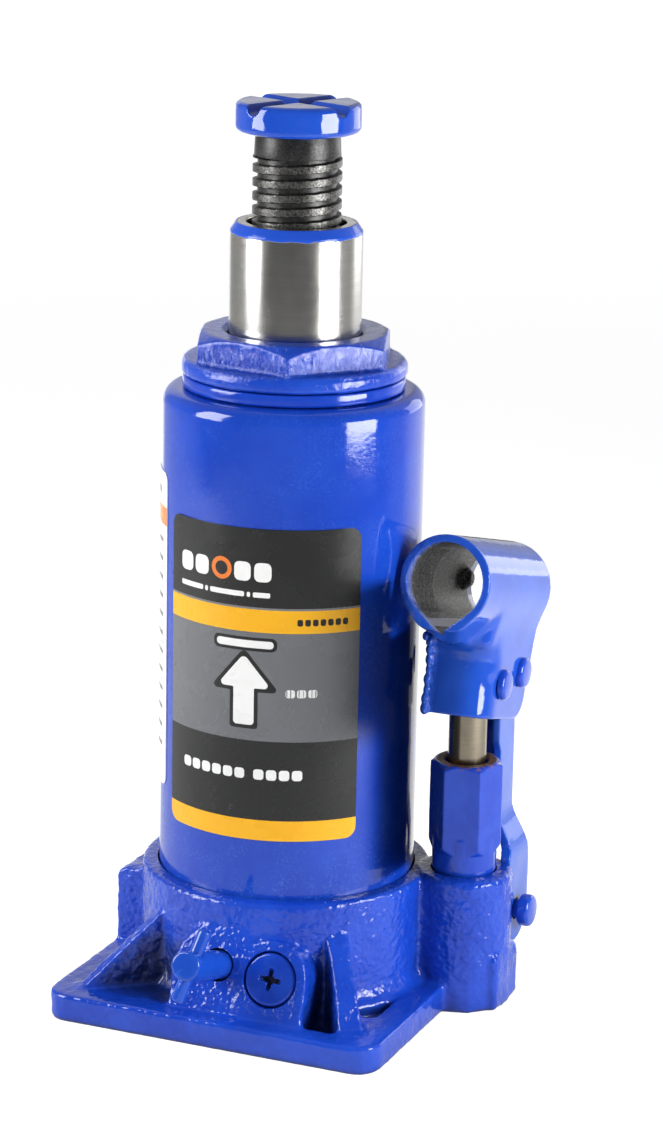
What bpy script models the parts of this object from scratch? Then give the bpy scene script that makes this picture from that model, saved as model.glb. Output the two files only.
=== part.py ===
"""Hydraulic bottle jack with a screw extension, as an assembly of separate pieces.

Frame: +Z up, origin on the ground under the middle of the ram.  -Y is the front,
with the release valve; +X is the right, with the hand pump.  Dimensions are in
millimetres and the helper functions turn them into metres.
"""
import math

import bmesh
import bpy
from mathutils import Matrix, Vector

MM = 0.001
GAP = 0.3            # working gap between neighbouring pieces

# ---------------------------------------------------------------- driving sizes
# foot plate and collar of the casting
PLATE_HALF_X = 52.2
PLATE_HALF_Y = 57.6
PLATE_H = 8.1
PLATE_CORNER_R = 7.0
POCKET_FLOOR_Z = 4.6
INNER_Z = 1.0        # level inside the plate where the parts standing on it begin
COLLAR_R = 42.7
COLLAR_H = 40.0
TANK_SEAT_Z = 26.0   # floor of the ring-shaped oil space
CYL_SEAT_Z = 20.0    # floor under the pressure cylinder

# reservoir tank
TANK_R = 38.0
TANK_WALL = 2.4
TANK_MOUTH_R = 29.6
TANK_Z0 = 28.2
TANK_Z1 = 183.8
SHOULDER_R = 8.0
FILLER_Z = 168.0

# pressure cylinder and gland nut
CYL_BORE_R = 20.35
CYL_R = 26.0
CYL_Z0 = 21.6
CYL_Z1 = 195.0
FLANGE_R = 32.7
FLANGE_Z0 = 187.9
FLANGE_Z1 = 192.5
NUT_CORNER_R = 30.8
NUT_SKIRT_R = 29.2
NUT_TOP_Z = 200.5
NUT_TURN = 19.6      # degrees from -Y towards +X to one corner

# ram
RAM_R = 19.1
RAM_TOP_Z = 231.7
RAM_Z0 = 50.0
RAM_BORE_R = 13.1
RAM_MOUTH_R = 14.4

# extension screw and saddle
SCREW_CREST_R = 12.8
SCREW_ROOT_R = 11.4
SCREW_PITCH = 4.0
SCREW_CREST_W = 2.1
SCREW_COLLAR_R = 12.4
SCREW_COLLAR_Z0 = 250.6
SCREW_Z0 = 172.0
SCREW_TURNS = 18
SCREW_STEPS = 12
SCREW_TURN = 20.0    # degrees about Z to the thread's ends
THREAD_END_DROP = 1.74   # from the collar down to the middle of the thread's upper end
SADDLE_R = 18.0
SADDLE_Z0 = 257.3
SADDLE_Z1 = 266.0
GROOVE_TURN = -22.0  # degrees of the groove cross about Z

# hand pump, beside the tank
PUMP_X = 52.0
PUMP_Y = 12.5
PUMP_BOSS_R = 14.5
PUMP_BOSS_Z = 40.7
PUMP_NECK_R = 9.6
PUMP_HEX_R = 10.8
PUMP_HEX_TURN = 42.6     # degrees from -Y towards +X to one corner
PUMP_TOP_Z = 74.6
PUMP_BORE_R = 6.0
PLUNGER_R = 5.7

# lever socket, in its own frame: y along the tube, z across it, from the plunger pin
LEVER_TILT = 15.07       # degrees that the tube drops towards the rear
TUBE_UP = 28.0           # height of the tube's axis
TUBE_R = 13.7
TUBE_BORE_R = 11.5
TUBE_SEAM = 15.1         # from the tube's axis to the point of its bore
TUBE_Y0 = -31.1
TUBE_Y1 = 23.9
SKIRT_HALF_X = 10.0
SKIRT_WALL = 2.6
SKIRT_NOSE_Y = -12.3
SKIRT_REAR_Y = 22.4
SKIRT_TANK_SIDE_R = 3.6
SKIRT_OUTSIDE_R = 9.0
SKIRT_HEEL_R = 7.5
SKIRT_Z0 = -10.4
SKIRT_ROOF = 11.0
NECK_HALF_X = 13.6
NECK_NOSE_Y = -13.9
NECK_TANK_SIDE_R = 4.6
NECK_OUTSIDE_R = 9.0

# pins of the lever and link, as (y, z)
PLUNGER_PIN = (PUMP_Y, 98.8)
TOP_PIN = (28.2, 98.3)
BASE_PIN = (27.6, 24.5)
PIN_R = 3.0
RIVET_HEAD_R = 4.6
RIVET_HEAD_H = 2.2
LEVER_SPAN = (30.0, 75.0)   # x range that passes right through the lever and link

# release valve and overload valve, both drilled upward towards the front
VALVE_TILT = math.radians(18.5)
VALVE_FACE = (-0.9, -46.3, 21.5)
PLUG_FACE = (15.7, -46.9, 19.9)
VALVE_STEM_R = 4.3
PLUG_R = 7.8
CROSS_PIN_UP = 19.0      # cross pin, outward from the valve face
CROSS_PIN_TURN = -15.0   # degrees about the stem's own axis
RELEASE_BALL_DEPTH = 20.55
OVERLOAD_BALL_DEPTH = 17.9

# check valves
DELIVERY = (PLUG_FACE[0], 4.0)   # x, y of the delivery ball's well
INTAKE_X = 31.6                  # hole up into the oil space

# labels on the tank: angles from -Y towards +X, then heights
LABEL_MID = 8.3
LABEL_HALF = 46.3
LABEL_Z = (58.1, 150.4)
SIDE_LABEL_ANGLES = (-130.0, -46.0)
SIDE_LABEL_Z = (66.0, 160.0)
LABEL_LIFT = 0.12
LABEL_THICKNESS = 0.25

# ---------------------------------------------------------------- materials
BLUE = (0.022, 0.085, 0.52)
COPPER = (0.55, 0.28, 0.16)
BALL_GREY = (0.5, 0.5, 0.5)

# name: (base colour, roughness, metallic)
FINISHES = {
    "base_paint": (BLUE, 0.28, 0.0),
    "tank_paint": (BLUE, 0.22, 0.0),
    "nut_paint": (BLUE, 0.25, 0.0),
    "gasket_painted": (BLUE, 0.4, 0.0),
    "saddle_paint": (BLUE, 0.25, 0.0),
    "pump_paint": (BLUE, 0.25, 0.0),
    "socket_paint": (BLUE, 0.22, 0.0),
    "link_paint": (BLUE, 0.25, 0.0),
    "pin_paint": (BLUE, 0.3, 0.0),
    "valve_paint": (BLUE, 0.28, 0.0),
    "cross_pin_paint": (BLUE, 0.3, 0.0),
    "plug_paint": (BLUE, 0.28, 0.0),
    "front_label_print": ((0.045, 0.045, 0.047), 0.35, 0.0),
    "side_label_print": ((0.88, 0.88, 0.87), 0.4, 0.0),
    "seal_rubber": ((0.02, 0.02, 0.021), 0.6, 0.0),
    "ram_seal_rubber": ((0.035, 0.03, 0.03), 0.55, 0.0),
    "filler_rubber": ((0.03, 0.03, 0.032), 0.5, 0.0),
    "plunger_seal_rubber": ((0.03, 0.028, 0.028), 0.55, 0.0),
    "o_ring_rubber": ((0.02, 0.02, 0.02), 0.5, 0.0),
    "gasket_copper": (COPPER, 0.4, 1.0),
    "washer_copper": (COPPER, 0.4, 1.0),
    "stop_ring_bronze": ((0.45, 0.30, 0.14), 0.35, 1.0),
    "cylinder_steel": ((0.32, 0.32, 0.31), 0.35, 1.0),
    "ring_steel": ((0.30, 0.30, 0.29), 0.35, 1.0),
    "ram_steel": ((0.42, 0.42, 0.41), 0.28, 1.0),
    "screw_black_oxide": ((0.04, 0.04, 0.04), 0.45, 1.0),
    "snap_ring_steel": ((0.12, 0.12, 0.12), 0.4, 1.0),
    "plunger_steel": ((0.36, 0.32, 0.26), 0.35, 1.0),
    "clip_steel": ((0.10, 0.10, 0.10), 0.4, 1.0),
    "spring_steel": ((0.25, 0.25, 0.25), 0.3, 1.0),
    "ball_steel": (BALL_GREY, 0.15, 1.0),
    "overload_ball_steel": (BALL_GREY, 0.15, 1.0),
    "check_ball_steel": (BALL_GREY, 0.15, 1.0),
}


def principled(name, color, roughness, metallic):
    material = bpy.data.materials.new(name)
    material.use_nodes = True
    inputs = material.node_tree.nodes["Principled BSDF"].inputs
    inputs["Base Color"].default_value = (*color, 1.0)
    inputs["Roughness"].default_value = roughness
    inputs["Metallic"].default_value = metallic
    return material


MATERIALS = {name: principled(name, *row) for name, row in FINISHES.items()}

# ---------------------------------------------------------------- clean start
for old in list(bpy.data.objects):
    bpy.data.objects.remove(old, do_unlink=True)

PARTS = bpy.data.collections.new("bottle_jack")
TOOLS = bpy.data.collections.new("cutters")      # work in progress
bpy.context.scene.collection.children.link(PARTS)
bpy.context.scene.collection.children.link(TOOLS)


# ---------------------------------------------------------------- working on objects
def tidy(mesh):
    bm = bmesh.new()
    bm.from_mesh(mesh)
    bmesh.ops.remove_doubles(bm, verts=bm.verts, dist=2e-6)
    bmesh.ops.dissolve_degenerate(bm, dist=1e-6, edges=bm.edges)
    bmesh.ops.recalc_face_normals(bm, faces=bm.faces)
    bm.to_mesh(mesh)
    bm.free()
    mesh.update()


def tool(name, data):
    obj = bpy.data.objects.new(name, data)
    TOOLS.objects.link(obj)
    return obj


def adopt_primitive():
    """Move the primitive just added into the tool collection."""
    obj = bpy.context.object
    for collection in list(obj.users_collection):
        collection.objects.unlink(obj)
    TOOLS.objects.link(obj)
    return obj


def bake(obj):
    """Turn an object with modifiers, or a curve, into a plain welded mesh in world axes."""
    bpy.context.view_layer.update()
    evaluated = obj.evaluated_get(bpy.context.evaluated_depsgraph_get())
    mesh = bpy.data.meshes.new_from_object(evaluated)
    mesh.transform(obj.matrix_world)
    tidy(mesh)
    name = obj.name
    bpy.data.objects.remove(obj, do_unlink=True)
    return tool(name, mesh)


def combine(obj, others, operation):
    for other in others:
        boolean = obj.modifiers.new(operation, 'BOOLEAN')
        boolean.operation = operation
        boolean.solver = 'EXACT'
        boolean.object = other
        obj = bake(obj)
        bpy.data.objects.remove(other, do_unlink=True)
    return obj


def cut(obj, *others):
    return combine(obj, others, 'DIFFERENCE')


def join(obj, *others):
    return combine(obj, others, 'UNION')


def common(obj, *others):
    return combine(obj, others, 'INTERSECT')


def rounded(obj, width, segments):
    bevel = obj.modifiers.new("Bevel", 'BEVEL')
    bevel.width = width * MM
    bevel.segments = segments
    bevel.limit_method = 'ANGLE'
    bevel.angle_limit = math.radians(40.0)
    return bake(obj)


def finish(obj, name, material, origin=(0, 0, 0)):
    """Name a piece, put its origin in place, shade it and move it to the parts."""
    obj.name = name
    obj.data.name = name
    origin = Vector(origin) * MM
    obj.data.transform(Matrix.Translation(-origin))
    obj.location = origin
    obj.data.materials.clear()
    obj.data.materials.append(MATERIALS[material])
    obj.data.shade_smooth()
    obj.data.set_sharp_from_angle(angle=math.radians(35))
    TOOLS.objects.unlink(obj)
    PARTS.objects.link(obj)


# ---------------------------------------------------------------- placing
def frame(x, y, z, origin=(0, 0, 0)):
    """Matrix whose columns are the given directions, placed at a point."""
    matrix = Matrix.Identity(4)
    for i, direction in enumerate((x, y, z)):
        matrix[0][i], matrix[1][i], matrix[2][i] = Vector(direction).normalized()
    matrix.translation = Vector(origin) * MM
    return matrix


def shifted(x, y, z=0.0):
    return Matrix.Translation((x * MM, y * MM, z * MM))


def turned_about_z(degrees):
    return Matrix.Rotation(math.radians(degrees), 4, 'Z')


SIDE = frame((0, 1, 0), (0, 0, 1), (1, 0, 0))      # (y, z) outline, thickness along +X
FRONT = frame((1, 0, 0), (0, 0, 1), (0, -1, 0))    # (x, z) outline, thickness along -Y
FILLER_AXIS = shifted(0, 0, FILLER_Z) @ frame((0, 0, 1), (1, 0, 0), (0, 1, 0))
PUMP_AXIS = shifted(PUMP_X, PUMP_Y)


def along_x(y, z):
    return shifted(0, y, z) @ SIDE


def tilted(face):
    """Local +Z runs outward along a valve bore, local X is world X."""
    outward = (0, -math.cos(VALVE_TILT), math.sin(VALVE_TILT))
    upward = (0, math.sin(VALVE_TILT), math.cos(VALVE_TILT))
    return frame((1, 0, 0), upward, outward, face)


def inside_bore(face, depth):
    """Point on a valve bore's axis, at a depth from its face."""
    x, y, z = face
    return (x, y + depth * math.cos(VALVE_TILT), z - depth * math.sin(VALVE_TILT))


# ---------------------------------------------------------------- outlines
def arc(cx, cy, r, start, end, steps):
    angles = [math.radians(start + (end - start) * i / steps) for i in range(steps + 1)]
    return [(cx + r * math.cos(a), cy + r * math.sin(a)) for a in angles]


def round_rect(half_x, half_y, r, steps=5):
    x, y = half_x - r, half_y - r
    return (arc(x, y, r, 0, 90, steps) + arc(-x, y, r, 90, 180, steps)
            + arc(-x, -y, r, 180, 270, steps) + arc(x, -y, r, 270, 360, steps))


def hexagon(r, turn):
    """Hexagon with a corner at `turn` degrees from -Y towards +X."""
    angles = [math.radians(turn + 60 * k) for k in range(6)]
    return [(r * math.sin(a), -r * math.cos(a)) for a in angles]


def mirrored(half):
    """(half width, z) points down one side of the pump's axis and back up the other."""
    return [(PUMP_X - w, z) for w, z in half] + [(PUMP_X + w, z) for w, z in reversed(half)]


# ---------------------------------------------------------------- solids
def turned(profile, steps, ring=False, place=None, pitch=0.0, turns=1):
    """Turn an (r, z) profile about Z; a ring's profile is closed, a pitch makes a thread."""
    mesh = bpy.data.meshes.new("turned")
    count = len(profile)
    edges = [(i, i + 1) for i in range(count - 1)]
    if ring:
        edges.append((count - 1, 0))
    mesh.from_pydata([(r * MM, 0.0, z * MM) for r, z in profile], edges, [])
    obj = tool("turned", mesh)
    screw = obj.modifiers.new("Turn", 'SCREW')
    screw.axis = 'Z'
    screw.angle = 2 * math.pi
    screw.screw_offset = pitch * MM
    screw.iterations = turns
    screw.steps = screw.render_steps = steps
    screw.use_merge_vertices = pitch == 0.0
    screw.merge_threshold = 0.00001
    if place is not None:
        obj.matrix_world = place
    return bake(obj)


def tube(r_out, r_in, z0, z1, steps, place=None):
    return turned([(r_out, z1), (r_out, z0), (r_in, z0), (r_in, z1)], steps, True, place)


def rod(r, z0, z1, steps, place=None):
    return turned([(0, z1), (r, z1), (r, z0), (0, z0)], steps, False, place)


def drill(start, end, r, steps):
    """Straight bore between two points."""
    start = Vector(start)
    run = Vector(end) - start
    turn = run.to_track_quat('Z', 'Y').to_matrix().to_4x4()
    return rod(r, 0, run.length, steps, Matrix.Translation(start * MM) @ turn)


def pin_bore(pin, x0=LEVER_SPAN[0], x1=LEVER_SPAN[1]):
    return rod(PIN_R + GAP, x0, x1, 16, along_x(*pin))


def box(low, high):
    bpy.ops.mesh.primitive_cube_add(size=1.0)
    obj = adopt_primitive()
    obj.scale = [(h - l) * MM for l, h in zip(low, high)]
    obj.location = [(h + l) * 0.5 * MM for l, h in zip(low, high)]
    return bake(obj)


def ball(name, r, centre, material):
    bpy.ops.mesh.primitive_uv_sphere_add(segments=12, ring_count=8, radius=r * MM,
                                         location=[c * MM for c in centre])
    finish(bake(adopt_primitive()), name, material, centre)


def poly_spline(curve, points):
    spline = curve.splines.new('POLY')
    spline.points.add(len(points) - 1)
    for point, (x, y, z) in zip(spline.points, points):
        point.co = (x * MM, y * MM, z * MM, 1.0)
    return spline


def sheet(outline, z0, z1, place=None):
    """Flat outline, filled and thickened from z0 to z1."""
    curve = bpy.data.curves.new("outline", 'CURVE')
    curve.dimensions = '2D'
    curve.fill_mode = 'BOTH'
    curve.extrude = (z1 - z0) * 0.5 * MM
    poly_spline(curve, [(x, y, 0.0) for x, y in outline]).use_cyclic_u = True
    obj = tool("outline", curve)
    middle = Matrix.Translation((0, 0, (z1 + z0) * 0.5 * MM))
    obj.matrix_world = (place @ middle) if place is not None else middle
    return bake(obj)


# ================================================================ base casting
# plate pockets, (x, y): one on the right, mirrored front to rear, and one by the front rib
SIDE_POCKET = [(43.3, 36.0), (43.3, 3.5), (36.0, 3.5), (30.0, 24.0)]
FRONT_POCKET = [(28.0, -49.0), (37.0, -49.0), (33.0, -30.0), (24.0, -30.0)]

# outer end, inner end, thickness, top at the inner end
RIBS = [
    ((-44.0, -49.0), (-25.0, -35.4), 4.6, 30.0),
    ((42.0, -48.0), (29.4, -30.4), 6.0, 31.0),
    ((-43.0, 49.0), (-28.0, 32.0), 5.0, 30.0),
    ((42.0, 48.0), (29.4, 31.6), 5.0, 30.0),
]

# start, end, radius, steps
RELEASE_PASSAGES = [
    ((VALVE_FACE[0], -17.9, 11.0), (VALVE_FACE[0], -17.9, 24.0), 1.5, 8),
    ((VALVE_FACE[0], -31.0, 17.0), (VALVE_FACE[0], -31.0, 30.0), 1.5, 8),
]
PUMP_PASSAGES = [
    # from the overload valve to under the delivery ball
    ((PLUG_FACE[0], -28.5, 13.75), (*DELIVERY, 9.8), 1.2, 8),
    # suction side: ball well and hole under it, then the way from the oil space
    ((PUMP_X, PUMP_Y, 14.2), (PUMP_X, PUMP_Y, 24.0), 3.3, 12),
    ((PUMP_X, PUMP_Y, 10.6), (PUMP_X, PUMP_Y, 16.0), 1.5, 8),
    ((INTAKE_X, PUMP_Y, 12.0), (PUMP_X + 0.8, PUMP_Y, 12.0), 1.3, 8),
    ((INTAKE_X, PUMP_Y, 11.0), (INTAKE_X, PUMP_Y, 28.0), 1.5, 8),
    # pressure side: ball well and hole under it, then the way from over the suction ball
    ((*DELIVERY, 13.2), (*DELIVERY, 24.0), 3.3, 12),
    ((*DELIVERY, 8.6), (*DELIVERY, 15.0), 1.5, 8),
    ((*DELIVERY, 9.8), (49.6, 11.9, 19.6), 1.2, 8),
]


def foot_plate():
    plate = rounded(sheet(round_rect(PLATE_HALF_X, PLATE_HALF_Y, PLATE_CORNER_R), 0.0, PLATE_H),
                    1.2, 2)
    outlines = [[(x, side * y) for x, y in SIDE_POCKET] for side in (-1, 1)]
    outlines.append(FRONT_POCKET)
    return cut(plate, *[sheet(outline, POCKET_FLOOR_Z, 20.0) for outline in outlines])


def collar():
    return turned([(0, COLLAR_H), (COLLAR_R - 1.0, COLLAR_H), (COLLAR_R, COLLAR_H - 1.0),
                   (COLLAR_R, 11.5), (COLLAR_R + 1.0, 9.0), (COLLAR_R + 3.6, 7.2),
                   (COLLAR_R + 3.6, INNER_Z), (0, INNER_Z)], 36)


def side_block():
    """Block with a rounded shoulder on the left of the collar."""
    outline = [(-51.3, INNER_Z)] + arc(-48.3, 28.6, 3.0, 180, 90, 4) + [
        (-43.0, 32.8), (-40.5, 37.0), (-38.0, 39.0), (-30.0, 39.0), (-30.0, INNER_Z)]
    return sheet(outline, -15.0, 10.0, FRONT)


def pump_mount():
    """Pump boss, its web to the collar, the square foot beside it and the link lug."""
    boss = turned([(0, PUMP_BOSS_Z), (PUMP_BOSS_R - 1.2, PUMP_BOSS_Z),
                   (PUMP_BOSS_R, PUMP_BOSS_Z - 1.2), (PUMP_BOSS_R, 0.0), (0, 0.0)],
                  24, False, PUMP_AXIS)
    web = box((34.0, -0.5, INNER_Z), (PUMP_X, 20.5, 38.6))
    foot = rounded(box((PUMP_X, 4.1, 0.0), (66.2, 22.6, 16.8)), 0.8, 1)
    lug = sheet([(20.0, INNER_Z), (34.2, INNER_Z)] + arc(*BASE_PIN, 8.2, -20, 110, 8)
                + [(20.0, 31.0)], PUMP_X - 8.1, PUMP_X + 8.1, SIDE)
    return boss, web, foot, lug


def valve_boss(face, r, centre_y):
    arch = sheet(arc(0, centre_y, r, 0, 180, 10) + [(-r, -26.0), (r, -26.0)],
                 -26.0, 0.0, tilted(face))
    return common(arch, box((-30, -70, 1.2), (40, -18, 60)))


def rib(outer, inner, thickness, top):
    """Rib from a plate corner up to the collar."""
    run = Vector(inner) - Vector(outer)
    length = run.length
    along = run.normalized()
    profile = [(0.0, INNER_Z), (0.0, 8.4), (2.0, 9.4), (length, top), (length + 6.0, top),
               (length + 6.0, INNER_Z)]
    place = frame((along.x, along.y, 0), (0, 0, 1), (along.y, -along.x, 0), (*outer, 0))
    return rounded(sheet(profile, -thickness / 2, thickness / 2, place), 1.1, 1)


def base_casting():
    body = join(foot_plate(), collar(), side_block(), *pump_mount(),
                valve_boss(VALVE_FACE, 14.0, -2.0), valve_boss(PLUG_FACE, 11.0, 0.0))
    # relief for the two cheeks of the link and for the clip on its pin
    body = cut(body, box((PUMP_X - 14.3, 20.5, 13.0), (PUMP_X - 8.1, 45.0, 60.0)),
               box((PUMP_X + 8.1, 20.5, 13.0), (PUMP_X + 20.0, 45.0, 60.0)))
    body = join(body, *[rib(*row) for row in RIBS])

    # tank seat, pressure cylinder seat, pump neck, lug pin
    body = cut(body, rod(TANK_R + 0.45, TANK_SEAT_Z, 60.0, 36),
               rod(CYL_R + GAP, CYL_SEAT_Z, 40.0, 24),
               rod(PUMP_NECK_R + 0.25, 21.5, 60.0, 20, PUMP_AXIS),
               pin_bore(BASE_PIN, x0=35.0))
    # release valve: stem bore, ball chamber, seat and return holes
    release = tilted(VALVE_FACE)
    body = cut(body, rod(VALVE_STEM_R + 0.5, -19.0, 12.0, 20, release),
               rod(2.9, -23.6, -12.0, 14, release),
               rod(1.4, -31.0, -20.0, 8, release),
               *[drill(*row) for row in RELEASE_PASSAGES])
    # overload valve: plug bore, spring and ball chamber
    overload = tilted(PLUG_FACE)
    body = cut(body, rod(PLUG_R + 0.35, -7.6, 12.0, 24, overload),
               rod(4.4, -20.8, -6.0, 14, overload),
               *[drill(*row) for row in PUMP_PASSAGES])
    finish(body, "base_casting", "base_paint")


# ================================================================ tank and hydraulic cylinder
def reservoir_tank():
    def shoulder(r, degrees):
        angles = [math.radians(d) for d in degrees]
        return [(TANK_R - SHOULDER_R + r * math.sin(a), TANK_Z1 - SHOULDER_R + r * math.cos(a))
                for a in angles]

    profile = ([(TANK_MOUTH_R, TANK_Z1)] + shoulder(SHOULDER_R, (0, 22.5, 45, 67.5, 90))
               + [(TANK_R, TANK_Z0), (TANK_R - TANK_WALL, TANK_Z0)]
               + shoulder(SHOULDER_R - TANK_WALL, (90, 45, 0))
               + [(TANK_MOUTH_R, TANK_Z1 - TANK_WALL)])
    filler_hole = rod(4.6, 30.0, 45.0, 14, FILLER_AXIS)
    finish(cut(turned(profile, 36, True), filler_hole), "reservoir_tank", "tank_paint")


def pressure_cylinder():
    profile = [(CYL_R - 0.8, CYL_Z1), (CYL_R, CYL_Z1 - 0.8), (CYL_R, CYL_Z0 + 0.8),
               (CYL_R - 0.8, CYL_Z0), (CYL_BORE_R, CYL_Z0), (CYL_BORE_R, CYL_Z1)]
    finish(turned(profile, 24, True), "pressure_cylinder", "cylinder_steel")


def top_nut():
    body = sheet(hexagon(NUT_CORNER_R, NUT_TURN), FLANGE_Z1 - 1.0, NUT_TOP_Z)
    chamfer = turned([(0, NUT_TOP_Z), (27.2, NUT_TOP_Z), (33.2, NUT_TOP_Z - 3.4),
                      (33.2, FLANGE_Z1 - 2.0), (0, FLANGE_Z1 - 2.0)], 30)
    flange = turned([(0, FLANGE_Z1), (FLANGE_R - 2.0, FLANGE_Z1),
                     (FLANGE_R - 0.6, FLANGE_Z1 - 0.6), (FLANGE_R, FLANGE_Z1 - 2.0),
                     (FLANGE_R, FLANGE_Z0 + 0.6), (FLANGE_R - 0.6, FLANGE_Z0),
                     (NUT_SKIRT_R, FLANGE_Z0), (NUT_SKIRT_R, 180.0), (0, 180.0)], 30)
    body = join(common(body, chamfer), flange)
    # pressure cylinder, ram and wiper groove
    body = cut(body, rod(CYL_R + GAP, 170.0, CYL_Z1 + GAP, 24),
               rod(RAM_R + GAP, 170.0, 220.0, 32), tube(22.0, 15.0, 196.8, 199.0, 24))
    finish(body, "top_nut", "nut_paint")


# name, material, outer radius, inner radius, z0, z1, steps
PLAIN_RINGS = [
    ("tank_top_gasket", "gasket_painted", 32.2, 29.8, 184.1, 187.6, 30),
    ("tank_base_gasket", "seal_rubber", 37.8, 35.8, TANK_SEAT_Z + GAP, TANK_Z0 - GAP, 24),
    ("cylinder_base_gasket", "gasket_copper", 25.6, 20.8, CYL_SEAT_Z + GAP, CYL_Z0 - GAP, 24),
    ("ram_seal_retainer", "ring_steel", 16.8, 12.3, 50.3, 52.3, 16),
    ("ram_stop_ring", "stop_ring_bronze", 20.0, 18.3, 94.0, 96.8, 24),
]


def plain_rings():
    for name, material, *sizes in PLAIN_RINGS:
        finish(tube(*sizes), name, material)


def ram_wiper():
    profile = [(20.2, 198.7), (21.6, 198.7), (21.6, 197.1), (RAM_R + 0.45, 197.1),
               (RAM_R + 0.2, 197.7), (RAM_R + 0.3, 198.2)]
    finish(turned(profile, 24, True), "ram_wiper", "seal_rubber")


def ram_seal():
    """Lipped packing at the foot of the ram."""
    profile = [(20.0, 57.8), (20.0, 53.4), (18.9, 52.7), (18.0, 54.6), (14.4, 54.6),
               (13.6, 52.7), (12.3, 53.2), (12.3, 57.8)]
    finish(turned(profile, 20, True), "ram_seal", "ram_seal_rubber")


def filler_plug():
    profile = [(0, 42.6), (5.6, 42.4), (6.6, 41.4), (6.6, 38.6), (4.25, 38.4), (4.25, 34.6),
               (5.0, 33.9), (3.6, 31.6), (0, 31.6)]
    finish(turned(profile, 18, False, FILLER_AXIS), "filler_plug", "filler_rubber",
           (0, TANK_R, FILLER_Z))


def curved_label(name, angles, heights, material, columns):
    """Thin sheet round the tank: a grid bent onto the cylinder, then thickened."""
    bpy.ops.mesh.primitive_grid_add(x_subdivisions=columns, y_subdivisions=1, size=1.0)
    obj = adopt_primitive()
    r = TANK_R + LABEL_LIFT
    (a0, a1), (z0, z1) = angles, heights
    for vert in obj.data.vertices:
        a = math.radians(a0 + (a1 - a0) * (vert.co.x + 0.5))
        z = z0 + (z1 - z0) * (vert.co.y + 0.5)
        vert.co = (r * MM * math.sin(a), -r * MM * math.cos(a), z * MM)
    solidify = obj.modifiers.new("Solidify", 'SOLIDIFY')
    solidify.thickness = LABEL_THICKNESS * MM
    solidify.offset = 1.0
    solidify.use_even_offset = True
    finish(bake(obj), name, material)


def labels():
    curved_label("front_label", (LABEL_MID - LABEL_HALF, LABEL_MID + LABEL_HALF), LABEL_Z,
                 "front_label_print", 16)
    curved_label("side_label", SIDE_LABEL_ANGLES, SIDE_LABEL_Z, "side_label_print", 15)


# ================================================================ ram, screw, saddle
def ram():
    bore = [(0, 134.5), (RAM_BORE_R, 137.5), (RAM_BORE_R, RAM_TOP_Z - 7.4),
            (RAM_BORE_R + 0.4, RAM_TOP_Z - 7.0), (RAM_MOUTH_R, RAM_TOP_Z - 6.0),
            (RAM_MOUTH_R, RAM_TOP_Z)]
    # down the outside, past the groove of the stop ring, to the spigot of the packing
    outside = [(17.7, RAM_TOP_Z), (RAM_R, RAM_TOP_Z - 2.6), (RAM_R, 97.1), (18.0, 97.1),
               (18.0, 93.7), (RAM_R, 93.7), (RAM_R, 59.2), (RAM_R - 1.0, 58.2), (12.0, 58.2),
               (12.0, RAM_Z0), (0, RAM_Z0)]
    finish(turned(bore + outside, 32), "ram", "ram_steel", (0, 0, RAM_TOP_Z))


def screw_thread():
    z0 = SCREW_COLLAR_Z0 - THREAD_END_DROP - SCREW_TURNS * SCREW_PITCH
    sunk_r = SCREW_ROOT_R - 0.5
    root_half, crest_half = SCREW_CREST_W * 0.62, SCREW_CREST_W * 0.5
    profile = [(sunk_r, z0 - root_half), (sunk_r, z0 + root_half),
               (SCREW_CREST_R, z0 + crest_half), (SCREW_CREST_R, z0 - crest_half)]
    thread = turned(profile, SCREW_STEPS, True, turned_about_z(SCREW_TURN),
                    SCREW_PITCH, SCREW_TURNS)
    # close the two open ends
    bm = bmesh.new()
    bm.from_mesh(thread.data)
    bmesh.ops.holes_fill(bm, edges=[e for e in bm.edges if e.is_boundary], sides=4)
    bmesh.ops.recalc_face_normals(bm, faces=bm.faces)
    bm.to_mesh(thread.data)
    bm.free()
    return thread


def extension_screw():
    core = turned([(0, 261.4), (7.4, 261.4), (8.0, 260.8), (8.0, 257.0),
                   (SCREW_COLLAR_R, 257.0), (SCREW_COLLAR_R, SCREW_COLLAR_Z0),
                   (SCREW_ROOT_R, SCREW_COLLAR_Z0), (SCREW_ROOT_R, SCREW_Z0 + 1.0),
                   (SCREW_ROOT_R - 1.0, SCREW_Z0), (9.0, SCREW_Z0), (9.0, 166.0),
                   (8.2, 165.2), (0, 165.2)], SCREW_STEPS, False, turned_about_z(SCREW_TURN))
    finish(join(core, screw_thread()), "extension_screw", "screw_black_oxide",
           (0, 0, SADDLE_Z0))


def saddle():
    half = [(0, 0), (SADDLE_R - 1.6, 0), (SADDLE_R - 0.5, 0.5), (SADDLE_R, 1.6)]
    body = turned([(r, SADDLE_Z1 - inset) for r, inset in half]
                  + [(r, SADDLE_Z0 + inset) for r, inset in reversed(half)], 32)
    # groove section: x, height from the top face
    section = [(-3.6, 1.0), (-3.0, 0.0), (-1.3, -2.3), (0, -2.7), (1.3, -2.3), (3.0, 0.0),
               (3.6, 1.0)]
    groove = [(x, SADDLE_Z1 + z) for x, z in section]
    body = cut(body, *[sheet(groove, -25.0, 25.0, turned_about_z(GROOVE_TURN + turn) @ FRONT)
                       for turn in (0, 90)])
    body = cut(body, rod(8.3, 250.0, 261.7, 16))
    finish(body, "saddle", "saddle_paint", (0, 0, SADDLE_Z0))


def screw_stop_ring():
    finish(tube(12.5, 9.3, 167.2, 170.6, 24), "screw_stop_ring", "snap_ring_steel",
           (0, 0, 169.0))


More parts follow.
